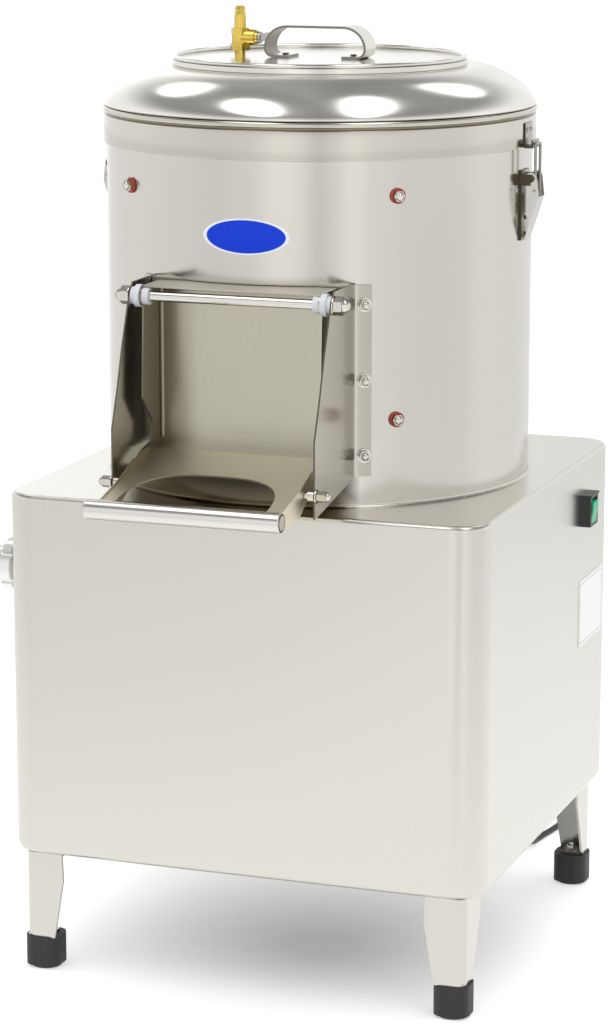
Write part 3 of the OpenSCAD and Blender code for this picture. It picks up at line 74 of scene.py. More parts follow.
lens = bpy.data.cameras.new("camera")
lens.lens = LENS
lens.sensor_width = 36.0
lens.shift_x, lens.shift_y = LENS_SHIFT
lens.clip_end = 50
camera = put_in("camera", lens)
back = Vector((math.sin(CAMERA_AZ) * math.cos(CAMERA_EL),
               -math.cos(CAMERA_AZ) * math.cos(CAMERA_EL), math.sin(CAMERA_EL)))
camera.matrix_world = (Matrix.Translation(CAMERA_AT)
                       @ back.to_track_quat("Z", "Y").to_matrix().to_4x4()
                       @ Matrix.Rotation(CAMERA_ROLL, 4, "Z"))
bpy.context.scene.camera = camera
bpy.context.scene.view_settings.view_transform = "Standard"

# Cabinet shell and rear panel. Satin stainless sheet, 1.5 mm, folded round four soft corners
# and welded; the top is pressed with a small radius, the underside is open inside a flange
# and the louvred panel is screwed on at the back.
# Block under the chute tray in which the cabinet's top and the weld get painted shade.
PAINTED_SHADE_UNDER_TRAY = ((-152, -262, 440), (108, -140, 560))
FLOAT, COLOUR, VECTOR = "NodeSocketFloat", "NodeSocketColor", "NodeSocketVector"


def add_node(tree, kind, links=None, **settings):
    """A node with its settings; links gives inputs by name or number, as values or sockets."""
    made = tree.nodes.new(kind)
    for name, value in settings.items():
        setattr(made, name, value)
    for key, value in (links or {}).items():
        socket = made.inputs[key]
        if isinstance(value, bpy.types.NodeSocket):
            tree.links.new(value, socket)
        else:
            socket.default_value = value
    return made


def reckon(tree, operation, *values, **settings):
    """A sum of plain values."""
    made = add_node(tree, "ShaderNodeMath", dict(enumerate(values)), operation=operation, **settings)
    return made.outputs[0]


def reckon_way(tree, operation, *values):
    """A sum of directions or places; a few of these sums give a plain value."""
    plain = operation in ("DOT_PRODUCT", "LENGTH", "DISTANCE")
    made = add_node(tree, "ShaderNodeVectorMath", dict(enumerate(values)), operation=operation)
    return made.outputs["Value" if plain else "Vector"]


def rescale(tree, value, given, wanted=(0.0, 1.0), **settings):
    """Stretches a value from the given span to the wanted one and stops at its ends."""
    links = {"Value": value, "From Min": given[0], "From Max": given[1], "To Min": wanted[0],
             "To Max": wanted[1]}
    return add_node(tree, "ShaderNodeMapRange", links, **settings).outputs[0]


def blend_colour(tree, share, one, other):
    """Goes from one colour to the other by a share."""
    return add_node(tree, "ShaderNodeMix", {0: share, 6: one, 7: other}, data_type="RGBA").outputs[2]


def blend_value(tree, share, one, other):
    """Goes from one value to the other by a share."""
    return add_node(tree, "ShaderNodeMix", {0: share, 2: one, 3: other}, data_type="FLOAT").outputs[0]


def start_group(name, inputs, outputs):
    """A shader node group with named sockets, and its two end nodes."""
    tree = bpy.data.node_groups.new(name, "ShaderNodeTree")
    for label, kind, value in inputs:
        socket = tree.interface.new_socket(label, in_out="INPUT", socket_type=kind)
        if value is not None:
            socket.default_value = value
    for label, kind in outputs:
        tree.interface.new_socket(label, in_out="OUTPUT", socket_type=kind)
    return tree, tree.nodes.new("NodeGroupInput"), tree.nodes.new("NodeGroupOutput")


def build_surface_group():
    """Fine grain stretched along one way and cloudy wear over it, both varying its colour and gloss."""
    tree, given, out = start_group(
        "worked surface",
        [("Colour", COLOUR, (0.8, 0.8, 0.8, 1)), ("Grain", VECTOR, (900, 900, 900)),
         ("Cloud Size", FLOAT, 9.0), ("Colour Spread", FLOAT, 0.04), ("Roughness", FLOAT, 0.3),
         ("Grain Depth", FLOAT, 0.05), ("Cloud Depth", FLOAT, 0.05)],
        [("Colour", COLOUR), ("Roughness", FLOAT), ("Height", FLOAT)])
    place = add_node(tree, "ShaderNodeTexCoord").outputs["Object"]
    stretched = reckon_way(tree, "MULTIPLY", place, given.outputs["Grain"])
    grain = add_node(tree, "ShaderNodeTexNoise", {"Vector": stretched, "Scale": 1.0, "Detail": 4.0,
                                                  "Roughness": 0.6}).outputs[0]
    cloud = add_node(tree, "ShaderNodeTexNoise", {"Vector": place, "Scale": given.outputs["Cloud Size"],
                                                  "Detail": 5.0, "Roughness": 0.55,
                                                  "Distortion": 0.4}).outputs[0]
    grain_off = reckon(tree, "SUBTRACT", grain, 0.5)
    cloud_off = reckon(tree, "SUBTRACT", cloud, 0.5)
    grain_part = reckon(tree, "MULTIPLY", grain_off, given.outputs["Grain Depth"])
    cloud_part = reckon(tree, "MULTIPLY", cloud_off, given.outputs["Cloud Depth"])
    both = reckon(tree, "ADD", grain_part, cloud_part)
    rough = reckon(tree, "ADD", both, given.outputs["Roughness"], use_clamp=True)
    shade = reckon(tree, "MULTIPLY", cloud_off, given.outputs["Colour Spread"])
    fleck = reckon(tree, "MULTIPLY", grain_off, given.outputs["Colour Spread"])
    level = reckon(tree, "ADD", shade, fleck)
    level = reckon(tree, "ADD", level, 1.0)
    tinted = add_node(tree, "ShaderNodeVectorMath", {0: given.outputs["Colour"], "Scale": level},
                      operation="SCALE").outputs[0]
    tree.links.new(tinted, out.inputs["Colour"])
    tree.links.new(rough, out.inputs["Roughness"])
    tree.links.new(grain, out.inputs["Height"])
    return tree


SURFACE = build_surface_group()


def new_finish(name):
    """An empty material with its tree and its Principled shader."""
    made = bpy.data.materials.new(name)
    made.use_nodes = True
    return made, made.node_tree, made.node_tree.nodes["Principled BSDF"]


def finish_with(tree, shader, colour, roughness, height, strength, depth_mm):
    """Feeds a shader its colour, its gloss and a relief."""
    relief = add_node(tree, "ShaderNodeBump", {"Height": height, "Strength": strength,
                                               "Distance": depth_mm / 1000})
    tree.links.new(colour, shader.inputs["Base Color"])
    tree.links.new(roughness, shader.inputs["Roughness"])
    tree.links.new(relief.outputs[0], shader.inputs["Normal"])


def finish_of(name, colour, roughness, metallic=0.0, grain=(900, 900, 900), cloud=9.0, spread=0.04,
              grain_depth=0.05, cloud_depth=0.05, bump=0.05, bump_mm=0.02, coat=0.0):
    """A material whose colour, gloss and relief come from the worked surface group."""
    made, tree, shader = new_finish(name)
    surface = add_node(tree, "ShaderNodeGroup", node_tree=SURFACE)
    for key, value in {"Colour": (*colour, 1), "Grain": grain, "Cloud Size": cloud,
                       "Colour Spread": spread, "Roughness": roughness,
                       "Grain Depth": grain_depth, "Cloud Depth": cloud_depth}.items():
        surface.inputs[key].default_value = value
    finish_with(tree, shader, surface.outputs["Colour"], surface.outputs["Roughness"],
                surface.outputs["Height"], bump, bump_mm)
    shader.inputs["Metallic"].default_value = metallic
    shader.inputs["Coat Weight"].default_value = coat
    shader.inputs["Coat Roughness"].default_value = 0.12
    return made


def dress(names, material):
    """Puts a material on CAD nodes that keep their shape."""
    for name in names:
        slots = nodes[name].data.materials
        slots.clear()
        slots.append(material)


cabinet_steel = finish_of("satin cabinet steel", (0.665, 0.652, 0.598), 0.26, 1.0,
                          grain=(1500, 1500, 25), cloud=4.0, spread=0.03, grain_depth=0.05,
                          cloud_depth=0.10, bump=0.02, bump_mm=0.01)


def build_block_group():
    """Marks the inside of a block with a soft edge, such as where shade is painted."""
    tree, given, out = start_group("soft block", [("Low", VECTOR, (0, 0, 0)), ("High", VECTOR, (0, 0, 0)),
                                                  ("Soft Edge", FLOAT, 0.01)], [("Inside", FLOAT)])
    place = add_node(tree, "ShaderNodeTexCoord").outputs["Object"]
    above = reckon_way(tree, "SUBTRACT", place, given.outputs["Low"])
    below = reckon_way(tree, "SUBTRACT", given.outputs["High"], place)
    inside = reckon_way(tree, "MINIMUM", above, below)
    ways = add_node(tree, "ShaderNodeSeparateXYZ", {0: inside})
    least = reckon(tree, "MINIMUM", ways.outputs["X"], ways.outputs["Y"])
    least = reckon(tree, "MINIMUM", least, ways.outputs["Z"])
    film = rescale(tree, least, (0.0, given.outputs["Soft Edge"]))
    tree.links.new(film, out.inputs["Inside"])
    return tree


SOFT_BLOCK = build_block_group()


def soft_block(tree, low, high, soft_edge):
    """How far a point is inside a block given by two corners in millimetres."""
    block = add_node(tree, "ShaderNodeGroup", node_tree=SOFT_BLOCK)
    block.inputs["Low"].default_value = at(*low)
    block.inputs["High"].default_value = at(*high)
    block.inputs["Soft Edge"].default_value = soft_edge
    return block.outputs["Inside"]


def lay_over(material, share, colour):
    """Turns a material's colour towards another by a share that changes over the surface."""
    tree = material.node_tree
    base = tree.nodes["Principled BSDF"].inputs["Base Color"]
    tree.links.new(blend_colour(tree, share, base.links[0].from_socket, (*colour, 1)), base)


def paint_shade_patch(material, low, high, colour, soft_edge=0.012, only_on_top=False):
    """Paints shade into a finish's colour inside a block, on its upward faces alone where that is asked for.
    """
    tree = material.node_tree
    share = soft_block(tree, low, high, soft_edge)
    if only_on_top:
        facing = add_node(tree, "ShaderNodeTexCoord").outputs["Normal"]
        up = add_node(tree, "ShaderNodeSeparateXYZ", {0: facing}).outputs["Z"]
        share = reckon(tree, "MULTIPLY", share, rescale(tree, up, (0.6, 0.95)))
    lay_over(material, share, colour)


# Painted shade on the cabinet's top under the chute tray.
paint_shade_patch(cabinet_steel, *PAINTED_SHADE_UNDER_TRAY, (0.26, 0.23, 0.16), 0.022, only_on_top=True)
dress(["cabinet_shell", "rear_panel"], cabinet_steel)

# Legs. Each is one folded angle of 2.5 mm sheet that narrows below a knee, with tabs turned
# in under the cabinet's flange and bolted up through it.
leg_steel = finish_of("satin leg steel", (0.62, 0.60, 0.55), 0.2, 1.0,
                      grain=(1500, 1500, 25), cloud=14.0, spread=0.05, grain_depth=0.10,
                      cloud_depth=0.12)
dress(["leg_front_left", "leg_front_right", "leg_rear_left", "leg_rear_right"], leg_steel)

# Feet. Moulded black rubber bushes, slightly dusty, each held by a bolt that goes up into
# the bracket at the foot of its leg.
foot_rubber = finish_of("dusty foot rubber", (0.018, 0.018, 0.019), 0.55, grain=(700, 700, 700),
                        cloud=30.0, spread=0.5, grain_depth=0.1, cloud_depth=0.15, bump=0.3)
dress(["rubber_feet"], foot_rubber)

# Drum. Rolled from 1.5 mm satin sheet and butt welded at the back; its rim carries the lid,
# and below the chute its foot gets painted shade.
DRUM_R = 216.3
drum_steel = finish_of("satin drum steel", (0.655, 0.635, 0.585), 0.17, 1.0,
                       grain=(1800, 1800, 25), cloud=6.0, spread=0.03, grain_depth=0.05,
                       cloud_depth=0.08, bump=0.02, bump_mm=0.01)
# Painted shade on the drum's foot below the chute, in two layers.
paint_shade_patch(drum_steel, (-150, -260, 440), (108, -120, 556), (0.14, 0.12, 0.08), 0.02)
paint_shade_patch(drum_steel, (-150, -260, 500), (108, -120, 556), (0.045, 0.038, 0.025), 0.018)
dress(["drum_wall", "sump_pan", "drain_pipe", "motor_plate"], drum_steel)

# Weld round the drum's foot. A fillet laid where the drum stands on the cabinet's top and
# brushed bright afterwards.
TOP_Z = 497.0
WELD_LEG = 3.0
GAP = 0.05


def mesh_piece(name, points, faces, material, body, sharp=32):
    """A smooth piece in millimetres that rides on a body of the machine."""
    shape = bpy.data.meshes.new(name)
    shape.from_pydata([at(*p) for p in points], [], faces)
    shape.validate()
    tidy = bmesh.new()
    tidy.from_mesh(shape)
    bmesh.ops.remove_doubles(tidy, verts=tidy.verts, dist=1e-6)
    bmesh.ops.recalc_face_normals(tidy, faces=tidy.faces)
    tidy.to_mesh(shape)
    tidy.free()
    shape.shade_smooth()
    shape.set_sharp_from_angle(angle=math.radians(sharp))
    shape.materials.append(material)
    made = put_in(name, shape)
    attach(made, body)
    return made


def turned(profile, segments=256):
    """Points and faces of a closed profile turned round the drum's axis, from the front."""
    points, faces = [], []
    n = len(profile)
    for k in range(segments):
        a = math.radians(-90 + 360.0 * k / segments)
        points += [(r * math.cos(a), r * math.sin(a), z) for r, z in profile]
        here, there = k * n, ((k + 1) % segments) * n
        faces += [(here + i, there + i, there + (i + 1) % n, here + (i + 1) % n) for i in range(n)]
    return points, faces


foot_r, foot_z = DRUM_R + GAP, TOP_Z + GAP
fillet = [(foot_r, foot_z)] + [(foot_r + WELD_LEG * (1 - math.sin(math.radians(a))),
                                foot_z + WELD_LEG * (1 - math.cos(math.radians(a))))
                               for a in range(0, 91, 15)]
weld_steel = finish_of("brushed weld steel", (0.62, 0.60, 0.54), 0.28, 1.0, grain=(260, 260, 260), cloud=60.0,
                       spread=0.12, grain_depth=0.14, cloud_depth=0.14, bump=0.15, bump_mm=0.08)
# Painted shade on the weld under the chute tray.
paint_shade_patch(weld_steel, *PAINTED_SHADE_UNDER_TRAY, (0.11, 0.095, 0.06), 0.022)
drum_weld = mesh_piece("drum_weld", *turned(fillet), weld_steel, "frame")

# Lid dome. Spun stainless, polished after spinning, so faint rings run round it; it is
# crimped over the skirt band with a rolled bead and carries the pressed top plate.
LID_R = 219.4
DOME_Z = 872.5
SHOULDER = (57.9, 38.3)
SHEET = 1.8
SHOULDER_POWER = 1.276
PLATEAU_R = 149.5
lid_steel = finish_of("polished lid steel", (0.74, 0.725, 0.68), 0.17, 1.0,
                      grain=(90, 90, 1400), cloud=7.0, spread=0.02, grain_depth=0.05,
                      cloud_depth=0.06, bump=0.03)


def shoulder(width, height, steps=40):
    """The dome's rounded shoulder from its rim up to the flat."""
    return [(LID_R - SHOULDER[0] + width * max(0.0, math.cos(math.pi / 2 * k / steps)) ** SHOULDER_POWER,
             DOME_Z + height * math.sin(math.pi / 2 * k / steps) ** SHOULDER_POWER)
            for k in range(steps + 1)]


def paint_shade_line(material, low, high, colour, soft_edge):
    """A line right round the machine between two heights that gets painted shade."""
    paint_shade_patch(material, (-300, -300, low), (300, 300, high), colour, soft_edge)


dome = (shoulder(*SHOULDER) + [(PLATEAU_R, DOME_Z + SHOULDER[1]), (PLATEAU_R, DOME_Z + SHOULDER[1] - SHEET)]
        + list(reversed(shoulder(SHOULDER[0] - SHEET, SHOULDER[1] - SHEET))))
# Painted shade at the joint of the dome and the band's bead.
paint_shade_line(lid_steel, DOME_Z - 1.0, DOME_Z + 1.0, (0.27, 0.24, 0.17), 0.0008)
lid_dome = mesh_piece("dome", *turned(dome), lid_steel, "lid", sharp=40)
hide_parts("lid_dome")

# Skirt band. A rolled ring of the same sheet that drops over the drum's rim; its lower edge
# is turned in, and at the top it is rolled into a bead with a groove below it; the groove and the joint above
# the bead get painted shade.
band_low, band_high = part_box("lid_band")
BAND_FOOT = band_low.z * 1000
GROOVE_Z = 865.0
BEAD_Z = 868.9
band_steel = finish_of("satin band steel", (0.575, 0.558, 0.50), 0.17, 1.0, grain=(1800, 1800, 25), cloud=6.0,
                       spread=0.03, grain_depth=0.05, cloud_depth=0.08, bump=0.02, bump_mm=0.01)


def arc(x, y, r, start, end, steps):
    """Points of an arc in a flat section, angles in degrees."""
    return [(x + r * math.cos(math.radians(start + (end - start) * k / steps)),
             y + r * math.sin(math.radians(start + (end - start) * k / steps)))
            for k in range(steps + 1)]


band = (arc(LID_R - 0.9, BAND_FOOT + 0.9, 0.9, -90, 0, 5)
        + [(LID_R, GROOVE_Z - 2.2), (LID_R - 0.5, GROOVE_Z - 1.4), (LID_R - 1.5, GROOVE_Z - 0.9),
           (LID_R - 1.6, GROOVE_Z + 0.7)]
        + arc(LID_R - 1.7, BEAD_Z, 3.1, -75, 75, 16)
        + [(LID_R - 1.6, BEAD_Z + 3.2), (LID_R - 1.8, BEAD_Z + 3.6), (LID_R - 3.0, BEAD_Z + 3.6),
           (LID_R - 3.0, GROOVE_Z - 1.4), (LID_R - 1.4, GROOVE_Z - 2.6), (LID_R - 1.4, BAND_FOOT)])
# Painted shade in the groove and in the joint above the bead.
for low, high in ((GROOVE_Z - 2.3, GROOVE_Z + 1.1), (BEAD_Z + 2.4, BEAD_Z + 5.0)):
    paint_shade_line(band_steel, low, high, (0.20, 0.175, 0.12), 0.0008)
lid_band = mesh_piece("skirt_band", *turned(band), band_steel, "lid", sharp=50)
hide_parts("lid_band")

# Top plate. Pressed from the same sheet and spot welded on the dome, with its edge rolled
# into a bead; the seam at its foot and the line under the bead get painted shade.
PLATE_RISE = 8.5
PLATE_BEAD_R = 2.45
PLATE_BEAD_IN = 3.1
PLATE_BEAD_DOWN = 0.4
PLATE_Z = DOME_Z + SHOULDER[1] + PLATE_RISE
# Painted shade in the seam at the plate's foot.
paint_shade_line(lid_steel, PLATE_Z - 8.4, PLATE_Z - 6.8, (0.25, 0.22, 0.16), 0.0006)
dress(["lid_top_pan"], lid_steel)
plate_edge = arc(PLATEAU_R - PLATE_BEAD_IN, PLATE_Z - PLATE_BEAD_DOWN, PLATE_BEAD_R, -60, 240, 24)
plate_steel = finish_of("rolled plate edge", (0.72, 0.705, 0.66), 0.16, 1.0, grain=(90, 90, 1400), cloud=8.0,
                        spread=0.05, grain_depth=0.06, cloud_depth=0.08)
# Painted shade under the plate's bead.
paint_shade_line(plate_steel, PLATE_Z - 3.2, PLATE_Z - 1.7, (0.16, 0.14, 0.10), 0.0005)
plate_bead = mesh_piece("plate_bead", *turned(plate_edge), plate_steel, "lid", sharp=60)

# Gaskets. Black moulded rubber: one sits inside the band on the drum's rim, the other frames
# the mouth behind the door, both with the dull bloom that rubber takes on.
gasket_rubber = finish_of("gasket rubber", (0.02, 0.02, 0.021), 0.62, grain=(600, 600, 600), cloud=40.0,
                          spread=0.5, grain_depth=0.12, cloud_depth=0.15, bump=0.35, bump_mm=0.06)
dress(["lid_gasket", "door_seal"], gasket_rubber)

# Lid handle. A flat stainless strap bent over a former with its feet turned in and riveted
# to the top plate; polished along its length, so the fine lines follow the strap.
strap_steel = finish_of("polished strap steel", (0.70, 0.69, 0.64), 0.18, 1.0, grain=(60, 1900, 60),
                        cloud=25.0, spread=0.12, grain_depth=0.10, cloud_depth=0.08, bump=0.08)


def paint_shade_turning_away(material, colour, first=0.35, last=0.95):
    """Paints shade on a small round part where it turns away from the eye."""
    tree = material.node_tree
    turn = add_node(tree, "ShaderNodeLayerWeight", {"Blend": 0.5}).outputs["Facing"]
    lay_over(material, rescale(tree, turn, (first, last)), colour)


def build_edge_group():
    """Marks a sheet's sheared edge, whose normal turns away from the sheet's own way; for a
    bent strip the way of the edge itself is given."""
    tree, given, out = start_group(
        "sheared edge", [("Sheet Way", VECTOR, (1, 0, 0)), ("Bent Strip", FLOAT, 0.0)], [("Edge", FLOAT)])
    facing = add_node(tree, "ShaderNodeTexCoord").outputs["Normal"]
    along = reckon_way(tree, "DOT_PRODUCT", facing, given.outputs["Sheet Way"])
    plain = reckon(tree, "ABSOLUTE", along)
    edge = rescale(tree, plain, (0.25, 0.45), (1.0, 0.0))
    facing_edge = reckon(tree, "SUBTRACT", 1.0, edge)
    edge = blend_value(tree, given.outputs["Bent Strip"], edge, facing_edge)
    tree.links.new(edge, out.inputs["Edge"])
    return tree


SHEARED = build_edge_group()


def dull_and_shade_edges(material, way, colour, roughness, bent_strip=0.0, within=None):
    """Gives a sheet metal's sheared edges, or those in one block, a duller gloss, and a darker colour that is
    painted shade.
    """
    tree = material.node_tree
    edge = add_node(tree, "ShaderNodeGroup", node_tree=SHEARED)
    edge.inputs["Sheet Way"].default_value = way
    edge.inputs["Bent Strip"].default_value = bent_strip
    share = edge.outputs["Edge"]
    if within:
        share = reckon(tree, "MULTIPLY", share, soft_block(tree, *within, 0.001))
    lay_over(material, share, colour)
    gloss = tree.nodes["Principled BSDF"].inputs["Roughness"]
    tree.links.new(blend_value(tree, share, gloss.links[0].from_socket, roughness), gloss)


# The strap's two long edges are left as sheared, duller and with painted shade, and its inner side, the one
# that faces the middle of its foot line, gets painted shade.
dull_and_shade_edges(strap_steel, (0, 1, 0), (0.27, 0.255, 0.22), 0.45, bent_strip=1.0)
tree = strap_steel.node_tree
where = add_node(tree, "ShaderNodeTexCoord")
outward = reckon_way(tree, "SUBTRACT", where.outputs["Object"], at(0, 0, PLATE_Z - 3))
outward = reckon_way(tree, "MULTIPLY", outward, (1, 0, 1))
facing = reckon_way(tree, "DOT_PRODUCT", outward, where.outputs["Normal"])
lay_over(strap_steel, rescale(tree, facing, (-0.004, -0.001), (1.0, 0.0)), (0.20, 0.18, 0.145))
dress(["lid_handle"], strap_steel)

# Chute cheeks. Two plates of 1.75 mm stainless with a flange rolled to the drum, each bolted
# on with three dome nuts; the long front edge is sheared and left dull, with painted shade on it, and the
# right cheek's outer parts get painted shade.
cheek_steel = finish_of("satin cheek steel", (0.60, 0.585, 0.53), 0.2, 1.0, grain=(60, 1500, 60), cloud=9.0,
                        spread=0.06, grain_depth=0.06, cloud_depth=0.12, bump=0.03, bump_mm=0.01)
# Painted shade on the sheared edges.
dull_and_shade_edges(cheek_steel, (1, 0, 0), (0.16, 0.145, 0.11), 0.5)
# Painted shade on the right cheek's outer parts.
paint_shade_patch(cheek_steel, (104, -300, 400), (200, -100, 800), (0.47, 0.455, 0.395), 0.004)
dress(["chute_cheek_left", "chute_cheek_right"], cheek_steel)

# Mouth frame. A flat plate with a square opening, welded to shelves inside the drum; it
# stands in the chute's shade, which is painted into its darker, warmer colour.
frame_steel = finish_of("satin frame steel", (0.50, 0.48, 0.41), 0.3, 1.0, grain=(40, 40, 1800), cloud=12.0,
                        spread=0.12, grain_depth=0.10, cloud_depth=0.16)
dress(["mouth_frame"], frame_steel)

# Door pan. One blank folded into a tray with side walls and a top lip that hangs on the rod;
# its face is satin with vertical grain, and the shade of the cheeks is painted into its darker, warmer
# colour, deepest on its left part.
door_steel = finish_of("satin door steel", (0.52, 0.50, 0.42), 0.24, 1.0, grain=(1500, 1500, 30), cloud=7.0,
                       spread=0.14, grain_depth=0.06, cloud_depth=0.14, bump=0.02, bump_mm=0.01)
# Painted shade on the door's left part, next to the left cheek.
paint_shade_patch(door_steel, (-140, -330, 380), (-52, -100, 860), (0.22, 0.195, 0.14), 0.045)
dress(["door_pan"], door_steel)
DOOR_X = 90.5
DOOR_BACK = 210.5
DOOR_FOLD_R = 3.2
DOOR_FOLD_Z = (559.0, 711.5)
for side in (-1, 1):
    bend = [(side * DOOR_X, -DOOR_BACK)] + [
        (side * (DOOR_X - DOOR_FOLD_R + DOOR_FOLD_R * math.sin(math.radians(t))),
         -(DOOR_BACK + DOOR_FOLD_R - DOOR_FOLD_R * math.cos(math.radians(t)))) for t in range(0, 91, 10)]
    n = len(bend)
    points = [(x, y, z) for z in DOOR_FOLD_Z for x, y in bend]
    faces = [tuple(range(n)), tuple(reversed(range(n, 2 * n)))]
    faces += [(i, (i + 1) % n, n + (i + 1) % n, n + i) for i in range(n)]
    fold = mesh_piece("door_fold_" + ("left" if side < 0 else "right"), points, faces, door_steel, "door")

# Door tray. The lower lip that the operator holds the bucket under, with a half round cut
# out of it and side flanges that stop on two pins.
# Its pale, warm colour is painted light.
tray_steel = finish_of("satin tray steel", (0.99, 0.93, 0.77), 0.40, 1.0, grain=(1500, 40, 1500), cloud=11.0,
                       spread=0.06, grain_depth=0.06, cloud_depth=0.14, bump=0.03, bump_mm=0.01)
TRAY_WAY = (0, -0.2155, 0.9765)
CUT_OUT = ((-84, -381, 480), (84, -200, 600))
# Painted shade on the edges of the half round cut out.
dull_and_shade_edges(tray_steel, TRAY_WAY, (0.16, 0.14, 0.095), 0.45, within=CUT_OUT)
# Painted shade on the tray's left part.
paint_shade_patch(tray_steel, (-260, -460, 380), (-38, -150, 700), (0.46, 0.41, 0.29), 0.06)
dress(["door_tray"], tray_steel)

# Hinge rod and pull bar. Bright drawn stainless, the rod solid and the bar a thin tube, both
# polished round so that they show long clean lines of light, and with painted shade where they turn away from
# the eye.
bright_bar = finish_of("bright drawn bar", (0.73, 0.71, 0.67), 0.17, 1.0, grain=(30, 1500, 1500), cloud=20.0,
                       spread=0.03, grain_depth=0.06, cloud_depth=0.06, bump=0.05)
# Painted shade where the rod and bar turn away from the eye.
paint_shade_turning_away(bright_bar, (0.34, 0.31, 0.25))
dress(["hinge_rod", "handle_bar"], bright_bar)
cap_steel = finish_of("pressed cap steel", (0.70, 0.68, 0.62), 0.25, 1.0, grain=(900, 900, 900), cloud=60.0,
                      spread=0.10, grain_depth=0.08, cloud_depth=0.08, bump=0.15)


def middle_and_half(node):
    """The middle of a CAD piece's box, and its half size."""
    low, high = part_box(node)
    return (low + high) / 2, (high - low) / 2


bar_middle, bar_half = middle_and_half("handle_bar")
SEAM_IN = 0.0017
SEAM_HALF = 0.0009
tree = cap_steel.node_tree
place = add_node(tree, "ShaderNodeTexCoord").outputs["Object"]
off_axis = reckon_way(tree, "SUBTRACT", place, bar_middle)
off_axis = reckon_way(tree, "MULTIPLY", off_axis, (0, 1, 1))
radius = reckon_way(tree, "LENGTH", off_axis)
seam = reckon(tree, "COMPARE", radius, bar_half.z - SEAM_IN, SEAM_HALF)
lay_over(cap_steel, seam, (0.05, 0.045, 0.035))
dress(["bar_end_caps"], cap_steel)

# Spacers and bushes. Turned white nylon, slightly milky, with fine tool rings; they slide
# on the hinge rod and keep the door in the middle between the cheeks.
nylon = finish_of("turned white nylon", (0.60, 0.625, 0.66), 0.36, grain=(1600, 120, 120), cloud=50.0,
                  spread=0.05, grain_depth=0.08, cloud_depth=0.06, bump=0.2, bump_mm=0.05)
dress(["rod_spacers", "door_bushes"], nylon)

# Fasteners. Stainless dome nuts, washers and hexagon bolts, tumbled bright; they hold the
# chute, the liner, the rear panel and the legs.
fastener_steel = finish_of("tumbled fastener steel", (0.70, 0.68, 0.62), 0.17, 1.0, grain=(700, 700, 700),
                           cloud=70.0, spread=0.12, grain_depth=0.10, cloud_depth=0.12, bump=0.15,
                           bump_mm=0.04)
# Painted shade where the fasteners turn away from the eye.
paint_shade_turning_away(fastener_steel, (0.10, 0.09, 0.065), 0.3, 0.8)
dress(["chute_bolts", "liner_bolts", "rear_panel_screws", "leg_bolts"], fastener_steel)

# Liner washers. Punched from red vulcanised fibre; each seals one liner bolt against the
# outside of the drum.
red_fibre = finish_of("red fibre", (0.36, 0.055, 0.03), 0.6, grain=(1500, 1500, 1500), cloud=120.0,
                      spread=0.35, grain_depth=0.1, cloud_depth=0.1, bump=0.4, bump_mm=0.06)
dress(["liner_washers"], red_fibre)

# Liner and peeling disc. Steel plates with carborundum grit bonded to the working faces; the
# disc's ridges throw the potatoes against the rough wall.
WALL_GRIT = ("wall grit", 620.0, (0.045, 0.045, 0.045), (0.34, 0.33, 0.31), 0.7)
DISC_GRIT = ("disc grit", 480.0, (0.035, 0.035, 0.036), (0.30, 0.30, 0.29), 0.9)


def build_grit_group():
    """Bonded grit: close dark grains of uneven size, some paler and glossier, their paler colour a painted
    glint.
    """
    tree, given, out = start_group(
        "bonded grit", [("Grain Size", FLOAT, 700.0), ("Dark", COLOUR, (0.05, 0.05, 0.05, 1)),
                        ("Light", COLOUR, (0.3, 0.3, 0.29, 1))],
        [("Colour", COLOUR), ("Roughness", FLOAT), ("Height", FLOAT)])
    place = add_node(tree, "ShaderNodeTexCoord").outputs["Object"]
    cells = add_node(tree, "ShaderNodeTexVoronoi", {"Vector": place, "Scale": given.outputs["Grain Size"]})
    worn = add_node(tree, "ShaderNodeTexNoise", {"Vector": place, "Scale": 18.0, "Detail": 4.0}).outputs[0]
    pick = add_node(tree, "ShaderNodeSeparateColor", {0: cells.outputs["Color"]}).outputs[0]
    spark = rescale(tree, pick, (0.4, 1.0))
    level = reckon(tree, "MULTIPLY", spark, worn)
    shade = blend_colour(tree, level, given.outputs["Dark"], given.outputs["Light"])
    rough = rescale(tree, pick, (0.0, 1.0), (0.9, 0.5))
    high = reckon(tree, "SUBTRACT", 1.0, cells.outputs["Distance"])
    tree.links.new(shade, out.inputs["Colour"])
    tree.links.new(rough, out.inputs["Roughness"])
    tree.links.new(high, out.inputs["Height"])
    return tree


GRIT = build_grit_group()


def grit_coat(name, size, dark, light, depth_mm):
    """A grit finish with its own grain size, two greys and depth."""
    made, tree, shader = new_finish(name)
    coat = add_node(tree, "ShaderNodeGroup", node_tree=GRIT)
    coat.inputs["Grain Size"].default_value = size
    coat.inputs["Dark"].default_value = (*dark, 1)
    coat.inputs["Light"].default_value = (*light, 1)
    finish_with(tree, shader, coat.outputs["Colour"], coat.outputs["Roughness"], coat.outputs["Height"],
                0.9, depth_mm)
    return made


dress(["liner_panels"], grit_coat(*WALL_GRIT))
dress(["abrasive_disc"], grit_coat(*DISC_GRIT))

# Water inlet. A turned brass barb, elbow body and spray nozzle through the lid, with painted
# shade where they turn away from the eye; the cock is turned by a small lever.
brass = finish_of("turned brass", (0.77, 0.56, 0.125), 0.2, 1.0, grain=(300, 300, 1700), cloud=90.0,
                  spread=0.35, grain_depth=0.12, cloud_depth=0.14, bump=0.2, bump_mm=0.05)
paint_shade_turning_away(brass, (0.30, 0.20, 0.03), 0.3, 0.9)
dress(["inlet_nozzle", "valve_body"], brass)
lever_steel = finish_of("plated lever steel", (0.45, 0.44, 0.42), 0.3, 1.0, grain=(800, 800, 800), cloud=60.0,
                        spread=0.2, grain_depth=0.1, cloud_depth=0.1)
dress(["valve_lever"], lever_steel)

